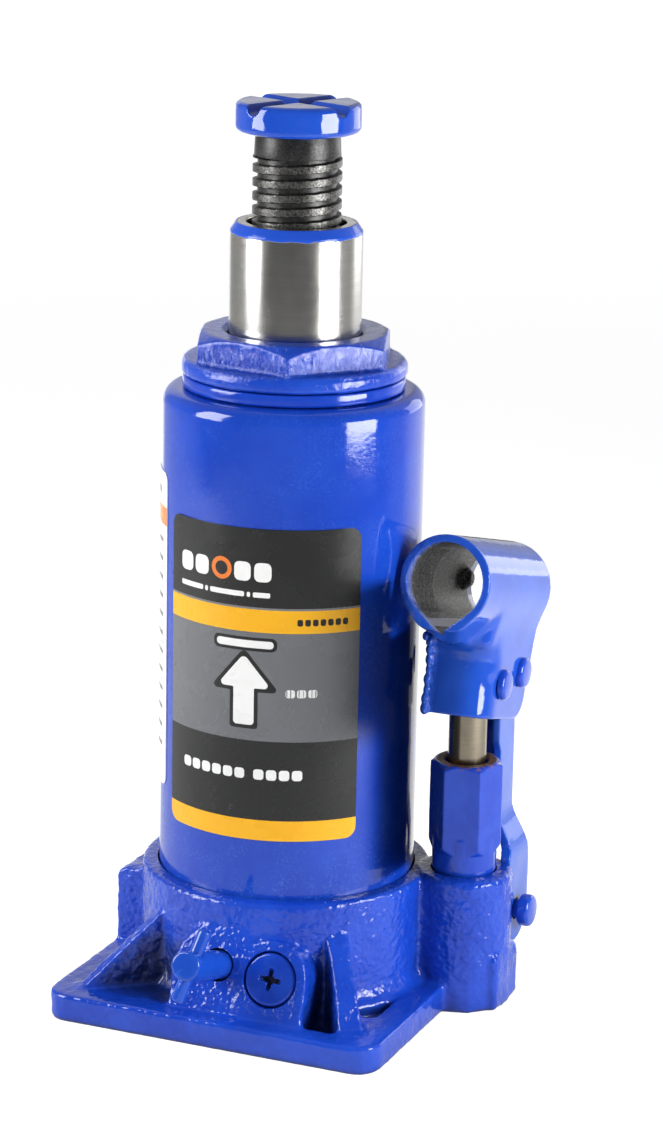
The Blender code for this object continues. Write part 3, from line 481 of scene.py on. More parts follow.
class Material(Net):
    """A new material whose net starts from an empty tree."""

    def __init__(self, name):
        self.material = bpy.data.materials.new(name)
        super().__init__(self.material)
        self.tree.nodes.clear()
        self.output = self.node("OutputMaterial")

    @cached_property
    def co(self):
        return self.node("TexCoord").outputs["Object"]

    @cached_property
    def xyz(self):
        node = self.node("SeparateXYZ")
        self.put(node.inputs[0], self.co)
        return node.outputs

    def texture(self, kind, size, stretch, shift, **settings):
        """Texture node with features about `size` mm; a small stretch draws them out."""
        node = self.node(kind, **settings)
        mapping = self.node("Mapping")
        self.put(mapping.inputs["Vector"], self.co)
        k = 1.0 / (size * MM)
        mapping.inputs["Scale"].default_value = [k * s for s in stretch]
        mapping.inputs["Location"].default_value = shift
        self.put(node.inputs["Vector"], mapping.outputs[0])
        node.inputs["Scale"].default_value = 1.0
        return node

    def noise(self, size, detail=3.0, rough=0.6, warp=0.0, stretch=(1, 1, 1), shift=(0, 0, 0)):
        node = self.texture("TexNoise", size, stretch, shift)
        node.inputs["Detail"].default_value = detail
        node.inputs["Roughness"].default_value = rough
        node.inputs["Distortion"].default_value = warp
        return node.outputs["Fac"]

    def cells(self, size, shift, feature='F1'):
        return self.texture("TexVoronoi", size, (1, 1, 1), shift,
                            feature=feature).outputs["Distance"]

    def bump(self, height, strength, depth, under=None):
        """Normal with a relief of the given depth in mm, laid over the normal `under`."""
        node = self.node("Bump")
        self.put(node.inputs["Strength"], strength)
        node.inputs["Distance"].default_value = depth * MM
        self.put(node.inputs["Height"], height)
        self.put(node.inputs["Normal"], under)
        return node.outputs[0]

    def drift(self, size):
        return self.noise(size, rough=0.55, warp=0.3)

    def blues(self, size, dark, light):
        """Slow drift between two blues."""
        return self.mix(self.ramp(self.drift(size), (0.35, 0.7)), dark, light)

    def thin_edges(self, color, reach=0.08, share=0.4, thin=(0.05, 0.16, 0.68)):
        """Paler, thin paint on sharp outer edges."""
        pointiness = self.node("NewGeometry").outputs["Pointiness"]
        edge = self.ramp(pointiness, (0.5 + reach * 0.5, 0.5 + reach))
        return self.mix(self.mul(edge, share), color, thin)

    def sheen(self, size, to, detail=3, shift=(1, 8, 3)):
        """Roughness that wanders between two values."""
        return self.ramp(self.noise(size, detail=detail, shift=shift), (0.3, 0.75), to)

    def peel(self, size, strength, depth=0.22, detail=2, rough=0.45, warp=0.15):
        """Orange peel of sprayed paint."""
        height = self.noise(size, detail, rough, warp, shift=(5, 5, 5))
        return self.bump(height, strength, depth)

    def nibs(self, size, reach, strength, depth, under):
        """Small dust nibs under the paint."""
        spots = self.ramp(self.cells(size, shift=(2, 6, 4)), (0.0, reach), (1.0, 0.0))
        return self.bump(spots, strength, depth, under)

    def shader(self, **inputs):
        node = self.node("BsdfPrincipled")
        for key, value in inputs.items():
            self.put(node.inputs[key.replace("_", " ")], value)
        self.tree.links.new(node.outputs[0], self.output.inputs[0])
        return self.material

    def painted(self, color, sheen, normal, coat=0.25, **more):
        return self.shader(Base_Color=color, Roughness=sheen, IOR=1.5, Normal=normal,
                           Coat_Weight=coat, Coat_Roughness=0.03, **more)


# ---------------------------------------------------------------- shared materials
BLUE = (0.006, 0.052, 0.50)
BLUE_DEEP = (0.004, 0.038, 0.42)
BLUE_LIGHT = (0.012, 0.075, 0.60)
RUST = (0.16, 0.055, 0.018)
RINGS = (0.04, 0.04, 1.0)       # noise stretch that draws rings about Z


def tone(rgb, gain, lift=0.0):
    return tuple(min(1.0, c * gain + lift) for c in rgb)


def add_painted_shade(net, color, sheen):
    """Painted shade in the nooks, where the paint is also thin: ambient occlusion darkens the
    colour, most of all in one pocket at the front left.
    """
    occlusion = net.node("AmbientOcclusion", samples=6)
    occlusion.inputs["Distance"].default_value = 0.024
    x, y, z = net.xyz[0], net.xyz[1], net.xyz[2]
    across = net.mul(net.ramp(x, (-0.043, -0.036)), net.ramp(x, (-0.016, -0.010), (1.0, 0.0)))
    down = net.mul(net.ramp(y, (-0.054, -0.048)), net.ramp(z, (0.030, 0.022)))
    # painted shade: occlusion, deepened over the front-left pocket, sets how far the colour darkens
    light = net.sub(occlusion.outputs["AO"], net.mul(net.mul(across, down), 0.34))
    deep = net.ramp(light, (0.20, 0.50), (0.9, 0.0))
    return net.mix(deep, color, (0.003, 0.007, 0.03)), net.add(sheen, net.mul(deep, 0.25))


def sand_cast(net, under):
    """Rough sand-cast relief on the walls, little of it on the flat foot."""
    size = 1.7
    lumps = net.noise(size, detail=2.5, rough=0.5, warp=0.4, shift=(7, 2, 9))
    pits = net.ramp(net.cells(size * 0.8, (4, 4, 1), 'SMOOTH_F1'), (0.1, 0.75))
    height = net.add(lumps, net.mul(pits, 0.55))
    height = net.mul(height, net.ramp(net.xyz[2], (0.008, 0.012), (0.35, 1.0)))
    return net.bump(height, strength=0.60, depth=0.5, under=under)


def enamel(name, peel=0.12, peel_size=1.6, rough=0.07, tint=0.0, casting=False):
    """Glossy blue enamel: slow colour drift, thick and thin paint, orange peel, dust nibs; castings
    also get painted shade in their nooks.
    """
    net = Material(name)
    color = net.blues(22, BLUE, BLUE_LIGHT)
    fine = net.noise(3.0, detail=4, warp=0.2, shift=(3, 1, 7))
    color = net.mix(net.ramp(fine, (0.55, 0.8), (0.0, 0.35)), color, BLUE_DEEP)
    if tint:
        color = net.mix(tint, color, (0.022, 0.15, 0.58))
    color = net.thin_edges(color, reach=0.09, share=0.35)
    scuff = net.noise(1.3, detail=6, rough=0.72, warp=1.0, shift=(9, 4, 2))
    scuff = net.ramp(scuff, (0.70, 0.76), (0.0, 0.5))
    color = net.mix(scuff, color, (0.07, 0.15, 0.55))
    sheen = net.add(net.sheen(9, (rough * 0.7, rough * 1.9), detail=4), net.mul(scuff, 0.25))
    if casting:
        # painted shade in the nooks of the casting
        color, sheen = add_painted_shade(net, color, sheen)
    normal = net.peel(peel_size, peel, depth=0.25)
    normal = net.nibs(5.5, reach=0.055, strength=0.25, depth=0.08, under=normal)
    if casting:
        normal = sand_cast(net, normal)
    return net.painted(color, sheen, normal)


def steel(name, base, rough, brush, stain, stain_color=(0.30, 0.26, 0.20), rings=True, rust=0.0):
    """Machined metal: fine cutting lines, smudges and a little staining."""
    net = Material(name)
    lines = RINGS if rings else (1, 1, 1)
    fine = net.noise(0.22, stretch=lines)
    broad = net.noise(1.4, stretch=lines, shift=(2, 2, 6))
    smear = net.noise(11, detail=4, warp=0.8, stretch=(1, 1, 0.45), shift=(5, 1, 1))
    color = net.mix(net.ramp(fine, (0.3, 0.75), (0.0, 0.35)), base, tone(base, 0.62))
    color = net.mix(net.ramp(broad, (0.35, 0.75), (0.0, 0.28)), color, tone(base, 1.25))
    color = net.mix(net.ramp(smear, (0.45, 0.8), (0.0, stain)), color, stain_color)
    metal = 1.0
    if rust:
        spots = net.noise(1.8, detail=6, rough=0.75, warp=0.8, shift=(3, 3, 3))
        spots = net.ramp(spots, (0.70 - rust * 0.1, 0.78 - rust * 0.1))
        color = net.mix(spots, color, RUST)
        metal = net.sub(1.0, net.mul(spots, 0.8))
    sheen = net.add(net.ramp(smear, (0.2, 0.8), (rough * 0.8, rough * 1.25)),
                    net.ramp(fine, (0.2, 0.8), (-0.04, 0.06)))
    normal = net.bump(fine, brush, depth=0.03)
    normal = net.bump(broad, brush * 0.5, depth=0.06, under=normal)
    return net.shader(Base_Color=color, Metallic=metal, Roughness=sheen, Normal=normal)


def rubber(name, base=(0.018, 0.018, 0.019), rough=0.55):
    net = Material(name)
    mottle = net.noise(2.4, detail=5, warp=0.3)
    fine = net.noise(0.35, shift=(4, 0, 1))
    dust = net.noise(6, detail=5, rough=0.7, warp=0.5, shift=(1, 2, 3))
    color = net.mix(mottle, base, tone(base, 2.2))
    color = net.mix(net.ramp(dust, (0.5, 0.8), (0.0, 0.3)), color, (0.09, 0.085, 0.08))
    height = net.add(net.mul(mottle, 0.6), net.mul(fine, 0.4))
    return net.shader(Base_Color=color, IOR=1.48,
                      Roughness=net.ramp(mottle, (0.2, 0.8), (rough * 0.8, rough * 1.25)),
                      Normal=net.bump(height, strength=0.35, depth=0.12))


def copper(name):
    return steel(name, (0.72, 0.36, 0.22), rough=0.32, brush=0.2, stain=0.35,
                 stain_color=(0.22, 0.12, 0.07), rings=False)


# ================================================================ base casting
FLOOR_Z = 1.5           # underside of the solids heaped on the plate
CORE_R = 42.7           # round body under the tank
# start and end in plan, width, height at the far end, sag at mid length
RIBS = [
    ((-44.5, -49.3), (-25.0, -35.0), 4.6, 30.5, 0.6),
    ((42.5, -48.6), (29.4, -30.2), 6.4, 31.5, 0.0),
    ((-43.0, 49.0), (-28.0, 32.0), 5.0, 30.0, 0.0),
    ((42.0, 48.0), (29.4, 31.6), 5.0, 30.0, 0.0),
]


def base_plate():
    plate = sheet(rounded_rect(-PLATE_X, -PLATE_Y, PLATE_X, PLATE_Y, 7.5, 8), 0.0, 8.3)
    plate = bevel(plate, width=1.0, segments=2, angle=50)
    # two mirrored pockets on the +X side, and one towards the front
    pockets = [([(43.3, s * 37.0), (43.3, s * 3.5), (36.0, s * 3.5), (29.0, s * 24.0)], 2.5)
               for s in (-1, 1)]
    pockets.append(([(27.5, -49.5), (37.5, -49.5), (34.0, -30.0), (24.0, -30.0)], 2.0))
    for outline, radius in pockets:
        plate = cut(plate, sheet(rounded(outline, radius, 4, True), 4.4, 20.0))
    return plate


def base_body():
    """Round core, and a block with a rounded shoulder on its left (-X) side."""
    r = CORE_R
    core = turned([(0, 40.2), (r - 0.6, 40.2), (r + 0.2, 39.4), (r + 0.25, 12.4), (r + 1.2, 10.0),
                   (r + 3.4, 8.0), (r + 3.4, FLOOR_Z), (0, FLOOR_Z)])
    block = [(-51.5, FLOOR_Z)] + arc(-48.5, 28.8, 3.0, 180, 90, 8) + [
        (-44.0, 32.2), (-42.4, 33.8), (-40.5, 37.2), (-38.5, 39.2), (-30.0, 39.2),
        (-30.0, FLOOR_Z)]
    return [core, sheet(block, -15.2, 10.2, FRONT)]


def pump_mount():
    """Boss round the pump, web to the core, foot, and the lug of the link's base pin."""
    boss = turned([(0, 40.9), (13.5, 40.9), (14.6, 39.7), (14.6, 0.0), (0, 0.0)], 72, PUMP_PLACE)
    web = sheet(rounded([(34.0, -2.2), (44.0, -0.6), (52.0, -0.8), (52.0, 20.6), (34.0, 20.6)],
                        1.5, 3, True), FLOOR_Z, 38.8)
    foot = bevel(box((52.0, 4.0, 0.0), (66.4, 22.7, 17.0)), width=1.2, segments=3)
    lug = sheet([(20.0, FLOOR_Z), (34.2, FLOOR_Z)] + arc(*LINK_BASE_PIN, 8.3, -20, 110, 14)
                + [(20.0, 31.0)], PUMP_X - 8.2, PUMP_X + 8.2, SIDE)
    return [boss, web, foot, lug]


def valve_bosses():
    """An arch for each valve; the left one has a hood up to the collar."""
    bosses = []
    for place, radius, rise in ((VALVE_PLACE, 14.0, -2.0), (PLUG_PLACE, 11.3, 0.0)):
        arch = sheet(arc(0, rise, radius, 0, 180, 24) + [(-radius, -26.0), (radius, -26.0)],
                     -26.0, 0.2, place)
        bosses.append(common(arch, box((-30, -70, FLOOR_Z), (40, -18, 60))))
    hood = turned([(0, -1.5), (8.6, -1.5), (9.6, -4.0), (14.5, -16.0), (14.5, -24.0), (0, -24.0)],
                  48, VALVE_PLACE @ at(0, 2.0))
    bosses.append(common(hood, box((-30, -70, FLOOR_Z), (40, -25, 36.0))))
    return bosses


def rib(start, end, width, top, sag):
    run = Vector(end) - Vector(start)
    length = run.length
    along = run.normalized()
    profile = [(-1.0, FLOOR_Z), (-1.0, 8.6), (1.5, 9.2), (length * 0.5, (9.2 + top) / 2 - sag),
               (length, top), (length + 7.0, top), (length + 7.0, FLOOR_Z)]
    across = (along.y, -along.x)
    place = axes((*along, 0), (0, 0, 1), (*across, 0), (*start, 0))
    ob = sheet(profile, -width / 2, width / 2, place)
    # the rib is thicker at its foot than along its crest
    points = coords(ob) / MM
    offset = (points[:, :2] - np.array(start)) @ np.array(across)
    widening = 1.0 + 0.35 * np.clip((12.0 - points[:, 2]) / 10.0, 0, 1)
    points[:, :2] += np.outer(offset * (widening - 1.0), across)
    set_coords(ob, points * MM)
    return ob


def casting_mask(points, normals):
    """Lumps on the walls, calm on the top ring, less near the plate, none underneath."""
    height, facing = points[:, 2], normals[:, 2]
    calm = 1.0 - 0.85 * smooth_step(height, 38.6, 40.0) * (facing > 0.6)
    low = 0.55 + 0.45 * smooth_step(height, 8.5, 12.0)
    return calm * low * (1.0 - smooth_step(-facing, 0.7, 0.95))


def base_casting():
    solids = [base_plate(), *base_body(), *pump_mount(), *valve_bosses()]
    solids += [rib(*row) for row in RIBS]
    body = skin(heap(*solids), fine=(0.62, 11), quick=(0.8, 7))
    body = grain(body, [(7.0, 0.22, 3.1), (2.6, 0.25, 11.7), (1.5, 0.12, 5.3)], casting_mask)
    points = coords(body)
    points[:, 2] = np.maximum(points[:, 2], 0.00005)
    set_coords(body, points)
    # machined bores, cut after the rough skin so that their edges stay crisp
    valve_seat = rounded([(0, 12.0), (5.6, 12.0), (4.9, 0.4), (4.8, -0.6), (4.8, -19.0),
                          (0, -19.0)], 0.2, 2)
    plug_seat = [(0, 12.0), (9.4, 12.0), (8.6, 0.5), (8.15, -0.4), (8.15, -7.6), (0, -7.6)]
    body = cut(body,
               rod(TANK_R + 0.5, 26.0, 60.0, 128),
               rod(26.3, 20.0, 40.0),
               rod(9.9, 21.5, 60.0, 64, PUMP_PLACE),
               rod(3.3, 35.0, 75.0, 32, along_x(*LINK_BASE_PIN)),
               turned(valve_seat, 48, VALVE_PLACE),
               turned(plug_seat, 72, PLUG_PLACE),
               # room for the link's cheeks
               box((PUMP_X - 14.3, 20.5, 13.0), (PUMP_X - 8.15, 45.0, 60.0)),
               box((PUMP_X + 8.15, 20.5, 13.0), (PUMP_X + 20.0, 45.0, 60.0)))
    paint = enamel("base_enamel", peel=0.10, peel_size=1.8, rough=0.085, casting=True)
    finish(body, "base_casting_skin", paint, "base_casting", sharp=40)


# ================================================================ tank, gasket, nut
TANK_WALL = 2.4
TANK_SHOULDER = 8.0     # outer radius of the shoulder
TANK_MOUTH = 29.6


def tank_enamel():
    """Blue with fine dry overspray, strongest low on the wall."""
    net = Material("tank_enamel")
    color = net.blues(24, (0.005, 0.048, 0.465), (0.009, 0.064, 0.53))
    fine = net.noise(0.7, shift=(3, 1, 7))
    z = net.xyz[2]
    patches = net.noise(12, warp=0.5, shift=(6, 6, 1))
    dry = net.mul(net.ramp(patches, (0.35, 0.65)), net.ramp(fine, (0.48, 0.66)))
    dry = net.mul(dry, net.ramp(z, (0.035, 0.062), (0.75, 0.28)))
    color = net.mix(dry, color, (0.05, 0.16, 0.62))
    sheen = net.add(net.sheen(10, (0.05, 0.12)), net.mul(dry, 0.25))
    normal = net.peel(1.5, strength=0.10)
    normal = net.bump(fine, net.ramp(z, (0.035, 0.07), (0.20, 0.05)), depth=0.10, under=normal)
    normal = net.nibs(9.0, reach=0.04, strength=0.3, depth=0.10, under=normal)
    return net.painted(color, sheen, normal)


def tank():
    inner = TANK_R - TANK_WALL
    profile = rounded([(TANK_MOUTH, TANK_Z1), (TANK_R, TANK_Z1), (TANK_R, TANK_Z0 + 0.4),
                       (TANK_R - 0.4, TANK_Z0), (inner, TANK_Z0), (inner, TANK_Z1 - TANK_WALL),
                       (TANK_MOUTH, TANK_Z1 - TANK_WALL)],
                      [0.3, TANK_SHOULDER, 0.2, 0.2, 0, TANK_SHOULDER - TANK_WALL, 0.3], 14, True)
    profile = add_rows(profile, 60,
                       lambda one, two: abs(one[0] - two[0]) < 0.01 and abs(one[1] - two[1]) > 40)
    ob = turned(profile, 192, closed=True)
    ob = grain(ob, [(26.0, 0.05, 2.0), (9.0, 0.02, 8.0)],
               lambda points, normals: (np.hypot(points[:, 0], points[:, 1]) > 36.5) * 1.0)
    finish(ob, "reservoir_tank_skin", tank_enamel(), "reservoir_tank", sharp=50)


def gasket():
    low, high = span("tank_top_gasket")
    profile = [(32.2, high[2]), (32.2, low[2]), (29.8, low[2]), (29.8, high[2])]
    ob = turned(rounded(profile, 0.6, 4, True), 160, closed=True)
    ob = grain(ob, [(5.0, 0.10, 4.0)])
    paint = enamel("gasket_enamel", peel=0.2, rough=0.1)
    finish(ob, "tank_top_gasket_ring", paint, "tank_top_gasket")


def nut_enamel():
    """Thick paint with runs and sags gathered at the foot of the hexagon."""
    net = Material("nut_enamel")
    color = net.thin_edges(net.blues(16, (0.007, 0.055, 0.50), (0.014, 0.08, 0.60)))
    z = net.xyz[2]
    low = net.ramp(z, (0.1925, 0.1985), (1.0, 0.25))
    sag = net.noise(2.4, detail=4, rough=0.62, warp=1.4, stretch=(1, 1, 0.6), shift=(2, 9, 4))
    normal = net.peel(1.4, strength=0.16, rough=0.5, warp=0.4)
    height = net.mul(sag, net.mul(low, net.ramp(z, (0.1915, 0.193), (0.15, 1.0))))
    normal = net.bump(height, strength=1.0, depth=1.5, under=normal)
    return net.painted(color, net.sheen(8, (0.045, 0.10)), normal)


def nut():
    body = sheet(hexagon(30.9, 19.6), 191.0, NUT_TOP)
    cone = rounded([(0, NUT_TOP), (26.6, NUT_TOP), (33.4, NUT_TOP - 4.2), (33.4, 190.0),
                    (0, 190.0)], [0, 1.2, 0, 0, 0], 5)
    body = common(body, turned(cone, 128))
    flange = rounded([(0, 192.5), (FLANGE_R, 192.5), (FLANGE_R, 187.9), (29.0, 187.9),
                      (29.0, 180.3), (0, 180.3)], [0, 2.0, 1.1, 0, 0, 0], 6)
    body = skin(heap(body, turned(flange, 128)), fine=(0.36, 6), quick=(0.5, 4))
    body = grain(body, [(7.0, 0.12, 6.0), (2.4, 0.05, 1.0)], above(187.0, 188.2))
    bore = rounded([(0, 215), (21.4, 215), (21.4, NUT_TOP + 0.3), (19.45, NUT_TOP - 1.1),
                    (19.45, 170), (0, 170)], [0, 0, 0.3, 0.3, 0, 0], 3)
    groove = [(22.0, 199.0), (22.0, 196.8), (15.0, 196.8), (15.0, 199.0)]
    body = cut(body, rod(26.3, 170.0, 195.3), turned(bore, 128), turned(groove, 64, closed=True))
    finish(body, "gland_nut_skin", nut_enamel(), "top_nut", sharp=50)


def wiper():
    """Lip between nut and ram."""
    low, high = span("ram_wiper")
    profile = [(21.3, high[2]), (21.4, low[2]), (19.5, low[2]), (19.25, low[2] + 0.8),
               (19.4, high[2])]
    ob = turned(rounded(profile, 0.15, 2, True), 128, closed=True)
    finish(ob, "ram_wiper_ring", rubber("wiper_rubber"), "ram_wiper")


# ================================================================ ram, screw, saddle
def ram_material():
    """Ground steel with a painted, partly worn top; rust freckles below the paint on one side."""
    net = Material("ram_steel_and_paint")
    x, y, z = net.xyz[0], net.xyz[1], net.xyz[2]
    fine = net.noise(0.20, stretch=(0.03, 0.03, 1.0))
    broad = net.noise(1.6, stretch=(0.05, 0.05, 1.0), shift=(2, 2, 6))
    smear = net.noise(7, detail=4, warp=0.8, stretch=(1, 1, 0.3), shift=(5, 1, 1))
    color = net.mix(net.ramp(fine, (0.3, 0.75), (0.0, 0.35)),
                    (0.50, 0.495, 0.475), (0.36, 0.355, 0.34))
    color = net.mix(net.ramp(broad, (0.35, 0.75), (0.0, 0.3)), color, (0.62, 0.61, 0.58))
    color = net.mix(net.ramp(smear, (0.45, 0.8), (0.0, 0.35)), color, (0.30, 0.28, 0.25))
    # rust spots: dense on one side near the top, a few everywhere
    bearing = net.add(net.mul(x, 0.90), net.mul(y, 0.43))
    side = net.ramp(bearing, (-0.0185, -0.009), (1.0, 0.0))
    high = net.ramp(z, (0.2225, 0.2275))
    dense = net.noise(0.9, detail=6, rough=0.75, warp=0.8, shift=(3, 3, 3))
    few = net.noise(1.1, detail=6, rough=0.7, warp=0.8, shift=(8, 3, 3))
    spots = net.math('MAXIMUM', net.mul(net.ramp(dense, (0.54, 0.62)), net.mul(side, high)),
                     net.mul(net.ramp(few, (0.745, 0.78)), 0.7))
    color = net.mix(spots, color, (0.20, 0.075, 0.02))
    # paint over the chamfer, with an uneven lower edge, worn off at the mouth
    edge = net.noise(3.5, detail=4, rough=0.65, warp=0.6, stretch=(1, 1, 0.2), shift=(1, 5, 2))
    line = net.add(0.2279, net.mul(edge, 0.0016))
    over_line = net.ramp(net.sub(z, line), (-0.00008, 0.00012))
    radius = net.radius(x, y)
    rim = net.add(radius, net.mul(net.noise(2.2, shift=(2, 2, 2)), -0.0016))
    paint = net.mul(over_line, net.ramp(rim, (0.0160, 0.01625)))
    inside = net.ramp(radius, (0.0150, 0.0146))
    color = net.mix(net.mul(net.ramp(z, (0.2315, 0.2312)), inside), color, (0.045, 0.04, 0.035))
    blue = net.mix(net.noise(8, detail=2, rough=0.5), (0.012, 0.075, 0.56), (0.02, 0.10, 0.66))
    color = net.mix(paint, color, blue)
    metal = net.sub(net.sub(1.0, net.mul(spots, 0.8), clamp=True), paint, clamp=True)
    bare_sheen = net.add(net.ramp(smear, (0.2, 0.8), (0.17, 0.26)),
                         net.ramp(fine, (0.2, 0.8), (-0.03, 0.05)))
    sheen = net.lerp(paint, bare_sheen, 0.08)
    blobs = net.noise(1.5, rough=0.55, warp=0.5, shift=(5, 5, 5))
    normal = net.bump(fine, strength=0.14, depth=0.02)
    height = net.mul(net.add(net.mul(blobs, 0.8), 0.6), paint)
    normal = net.bump(height, strength=0.5, depth=0.28, under=normal)
    return net.shader(Base_Color=color, Metallic=metal, Roughness=sheen, Normal=normal)


def ram():
    bore = [(0, 134.5), (13.1, 137.5), (13.1, RAM_TOP - 7.4)]
    outer = [(14.4, RAM_TOP - 6.0), (14.4, RAM_TOP), (17.4, RAM_TOP), (RAM_R, RAM_TOP - 2.4),
             (RAM_R, 97.1), (18.0, 97.1), (18.0, 93.7), (RAM_R, 93.7), (RAM_R, 59.2),
             (RAM_R - 1.0, 58.2), (12.0, 58.2), (12.0, RAM_Z0), (0, RAM_Z0)]
    radii = [0, 0.3, 0.2, 0.3, 0.35, 0.3, 0.5] + [0.15] * 6 + [0, 0, 0]
    ob = turned(rounded(bore + outer, radii, 3), 160)
    finish(ob, "ram_body", ram_material(), "ram", "ram", sharp=30)


THREAD_Z0, THREAD_Z1, SCREW_TOP = 172.0, 250.55, 257.0
THREAD_ROOT, THREAD_CREST, THREAD_PITCH = 11.4, 12.8, 4.0
THREAD_WIDTH, THREAD_FLANK = 2.05, 0.30
THREAD_REF, THREAD_TURN = 248.86, math.radians(20.0)    # height of a crest at this angle
THREAD_STEP = 0.22                                      # height of one row of the sleeve


def thread_radius(angle, z):
    turns = (z - THREAD_REF - THREAD_PITCH * (angle - THREAD_TURN) / (2 * math.pi)) / THREAD_PITCH
    distance = abs((turns - math.floor(turns + 0.5)) * THREAD_PITCH)
    rise = (THREAD_WIDTH / 2 + THREAD_FLANK - distance) / THREAD_FLANK
    rise = ease(min(1.0, max(0.0, rise)))
    # the thread fades in at the foot, and ends a little short of the collar
    rise *= min(1.0, max(0.0, (z - THREAD_Z0 - 0.6) / 2.0))
    rise *= min(1.0, max(0.0, (THREAD_Z1 + 0.25 - z) / 0.5))
    return THREAD_ROOT + (THREAD_CREST - THREAD_ROOT) * rise


def screw_oxide():
    """Black oxide, worn to grey on the crests."""
    net = Material("screw_black_oxide")
    radius = net.radius(net.xyz[0], net.xyz[1])
    speck = net.noise(0.55, detail=5, rough=0.7, warp=0.2)
    blotch = net.noise(4.0, detail=4, warp=0.5, shift=(4, 1, 2))
    color = net.mix(net.ramp(speck, (0.35, 0.7)), (0.026, 0.026, 0.027), (0.075, 0.075, 0.072))
    color = net.mix(net.ramp(blotch, (0.45, 0.8), (0.0, 0.45)), color, (0.10, 0.098, 0.09))
    worn = net.mul(net.ramp(radius, (0.0124, 0.0128)), net.ramp(speck, (0.4, 0.62)))
    color = net.mix(net.mul(worn, 0.65), color, (0.24, 0.235, 0.22))
    normal = net.bump(speck, strength=0.35, depth=0.10)
    lines = net.noise(0.25, detail=2, rough=0.5, stretch=(0.05, 0.05, 1.0))
    normal = net.bump(lines, strength=0.12, depth=0.03, under=normal)
    return net.shader(Base_Color=color, Metallic=0.75, Normal=normal,
                      Roughness=net.ramp(blotch, (0.2, 0.8), (0.30, 0.44)))


def screw():
    """Square-cut thread: one dense sleeve following the helix, closed below, collared above."""
    steps = 144
    foot = [(0, 165.2), (8.2, 165.2), (9.0, 166.0), (9.0, THREAD_Z0),
            (THREAD_ROOT - 0.8, THREAD_Z0), (THREAD_ROOT, THREAD_Z0 + 0.8)]
    collar = rounded([(THREAD_ROOT, THREAD_Z1), (12.45, THREAD_Z1), (12.15, SCREW_TOP),
                      (8.0, SCREW_TOP), (8.0, 260.8), (7.4, 261.4), (0, 261.4)],
                     [0, 0.25, 0.3, 0.2, 0, 0, 0], 3)
    rows = [[point] * steps for point in foot]
    # the first six rows lie within the foot
    for i in range(6, int((THREAD_Z1 - THREAD_Z0) / THREAD_STEP)):
        z = THREAD_Z0 + THREAD_STEP * i
        rows.append([(thread_radius(angle, z), z) for angle in ring_angles(steps)])
    rows += [[point] * steps for point in collar]
    finish(loft(rows), "extension_screw_thread", screw_oxide(),
           "extension_screw", "screw")


def saddle():
    """Disc with two crossed grooves in its top."""
    top = SADDLE_Z1
    profile = [(0, top), (SADDLE_R, top), (SADDLE_R, SADDLE_Z0), (8.4, SADDLE_Z0),
               (8.4, 261.7), (0, 261.7)]
    body = turned(rounded(profile, [0, 1.7, 1.9, 0.4, 0.3, 0], 6), 160)
    groove = ([(-3.9, top + 1.5), (-3.1, top - 0.1)] + arc(0, top - 0.55, 2.35, 195, 345, 10)
              + [(3.1, top - 0.1), (3.9, top + 1.5)])
    for turn in (-22.0, 68.0):
        place = Matrix.Rotation(math.radians(turn), 4, 'Z') @ FRONT
        body = cut(body, sheet(groove, -25.0, 25.0, place))
    body = skin(body, fine=(0.26, 5), quick=(0.4, 3))
    body = grain(body, [(6.0, 0.09, 6.0), (2.0, 0.03, 1.0)])
    paint = enamel("saddle_enamel", peel_size=1.5, rough=0.06, tint=0.15)
    finish(body, "saddle_skin", paint, "saddle", "screw", sharp=50)


# ================================================================ hand pump
def pump_enamel():
    """Blue paint; the top face is bare, dark and rusty where the paint has worn off."""
    net = Material("pump_enamel")
    x, y, z = net.xyz[0], net.xyz[1], net.xyz[2]
    radius = net.radius(net.sub(x, PUMP_X * MM), net.sub(y, PUMP_Y * MM))
    slow = net.drift(12)
    color = net.mix(net.ramp(slow, (0.35, 0.7)), (0.006, 0.050, 0.48), (0.012, 0.07, 0.56))
    color = net.thin_edges(color)
    edge = net.noise(1.6, detail=4, rough=0.65, warp=0.6, shift=(1, 5, 2))
    bare = net.mul(net.ramp(z, ((PUMP_TOP - 0.75) * MM, (PUMP_TOP - 0.35) * MM)),
                   net.ramp(net.add(radius, net.mul(edge, -0.0022)), (0.0080, 0.0076)))
    rusty = net.mix(net.ramp(net.noise(1.1, detail=5, rough=0.7, warp=0.8), (0.4, 0.65)),
                    (0.05, 0.035, 0.028), (0.22, 0.10, 0.045))
    color = net.mix(bare, color, rusty)
    ring = net.mul(net.ramp(z, ((PUMP_TOP - 1.0) * MM, (PUMP_TOP - 0.5) * MM)),
                   net.ramp(edge, (0.52, 0.6)))
    color = net.mix(net.mul(ring, 0.75), color, (0.24, 0.10, 0.05))
    sheen = net.lerp(bare, net.ramp(slow, (0.3, 0.75), (0.06, 0.12)), 0.6)
    normal = net.peel(1.5, strength=0.14, rough=0.5, warp=0.3)
    pits = net.mul(net.noise(0.7, detail=4, rough=0.7), bare)
    normal = net.bump(pits, strength=0.8, depth=0.3, under=normal)
    return net.painted(color, sheen, normal, coat=net.lerp(bare, 0.25, 0.0))


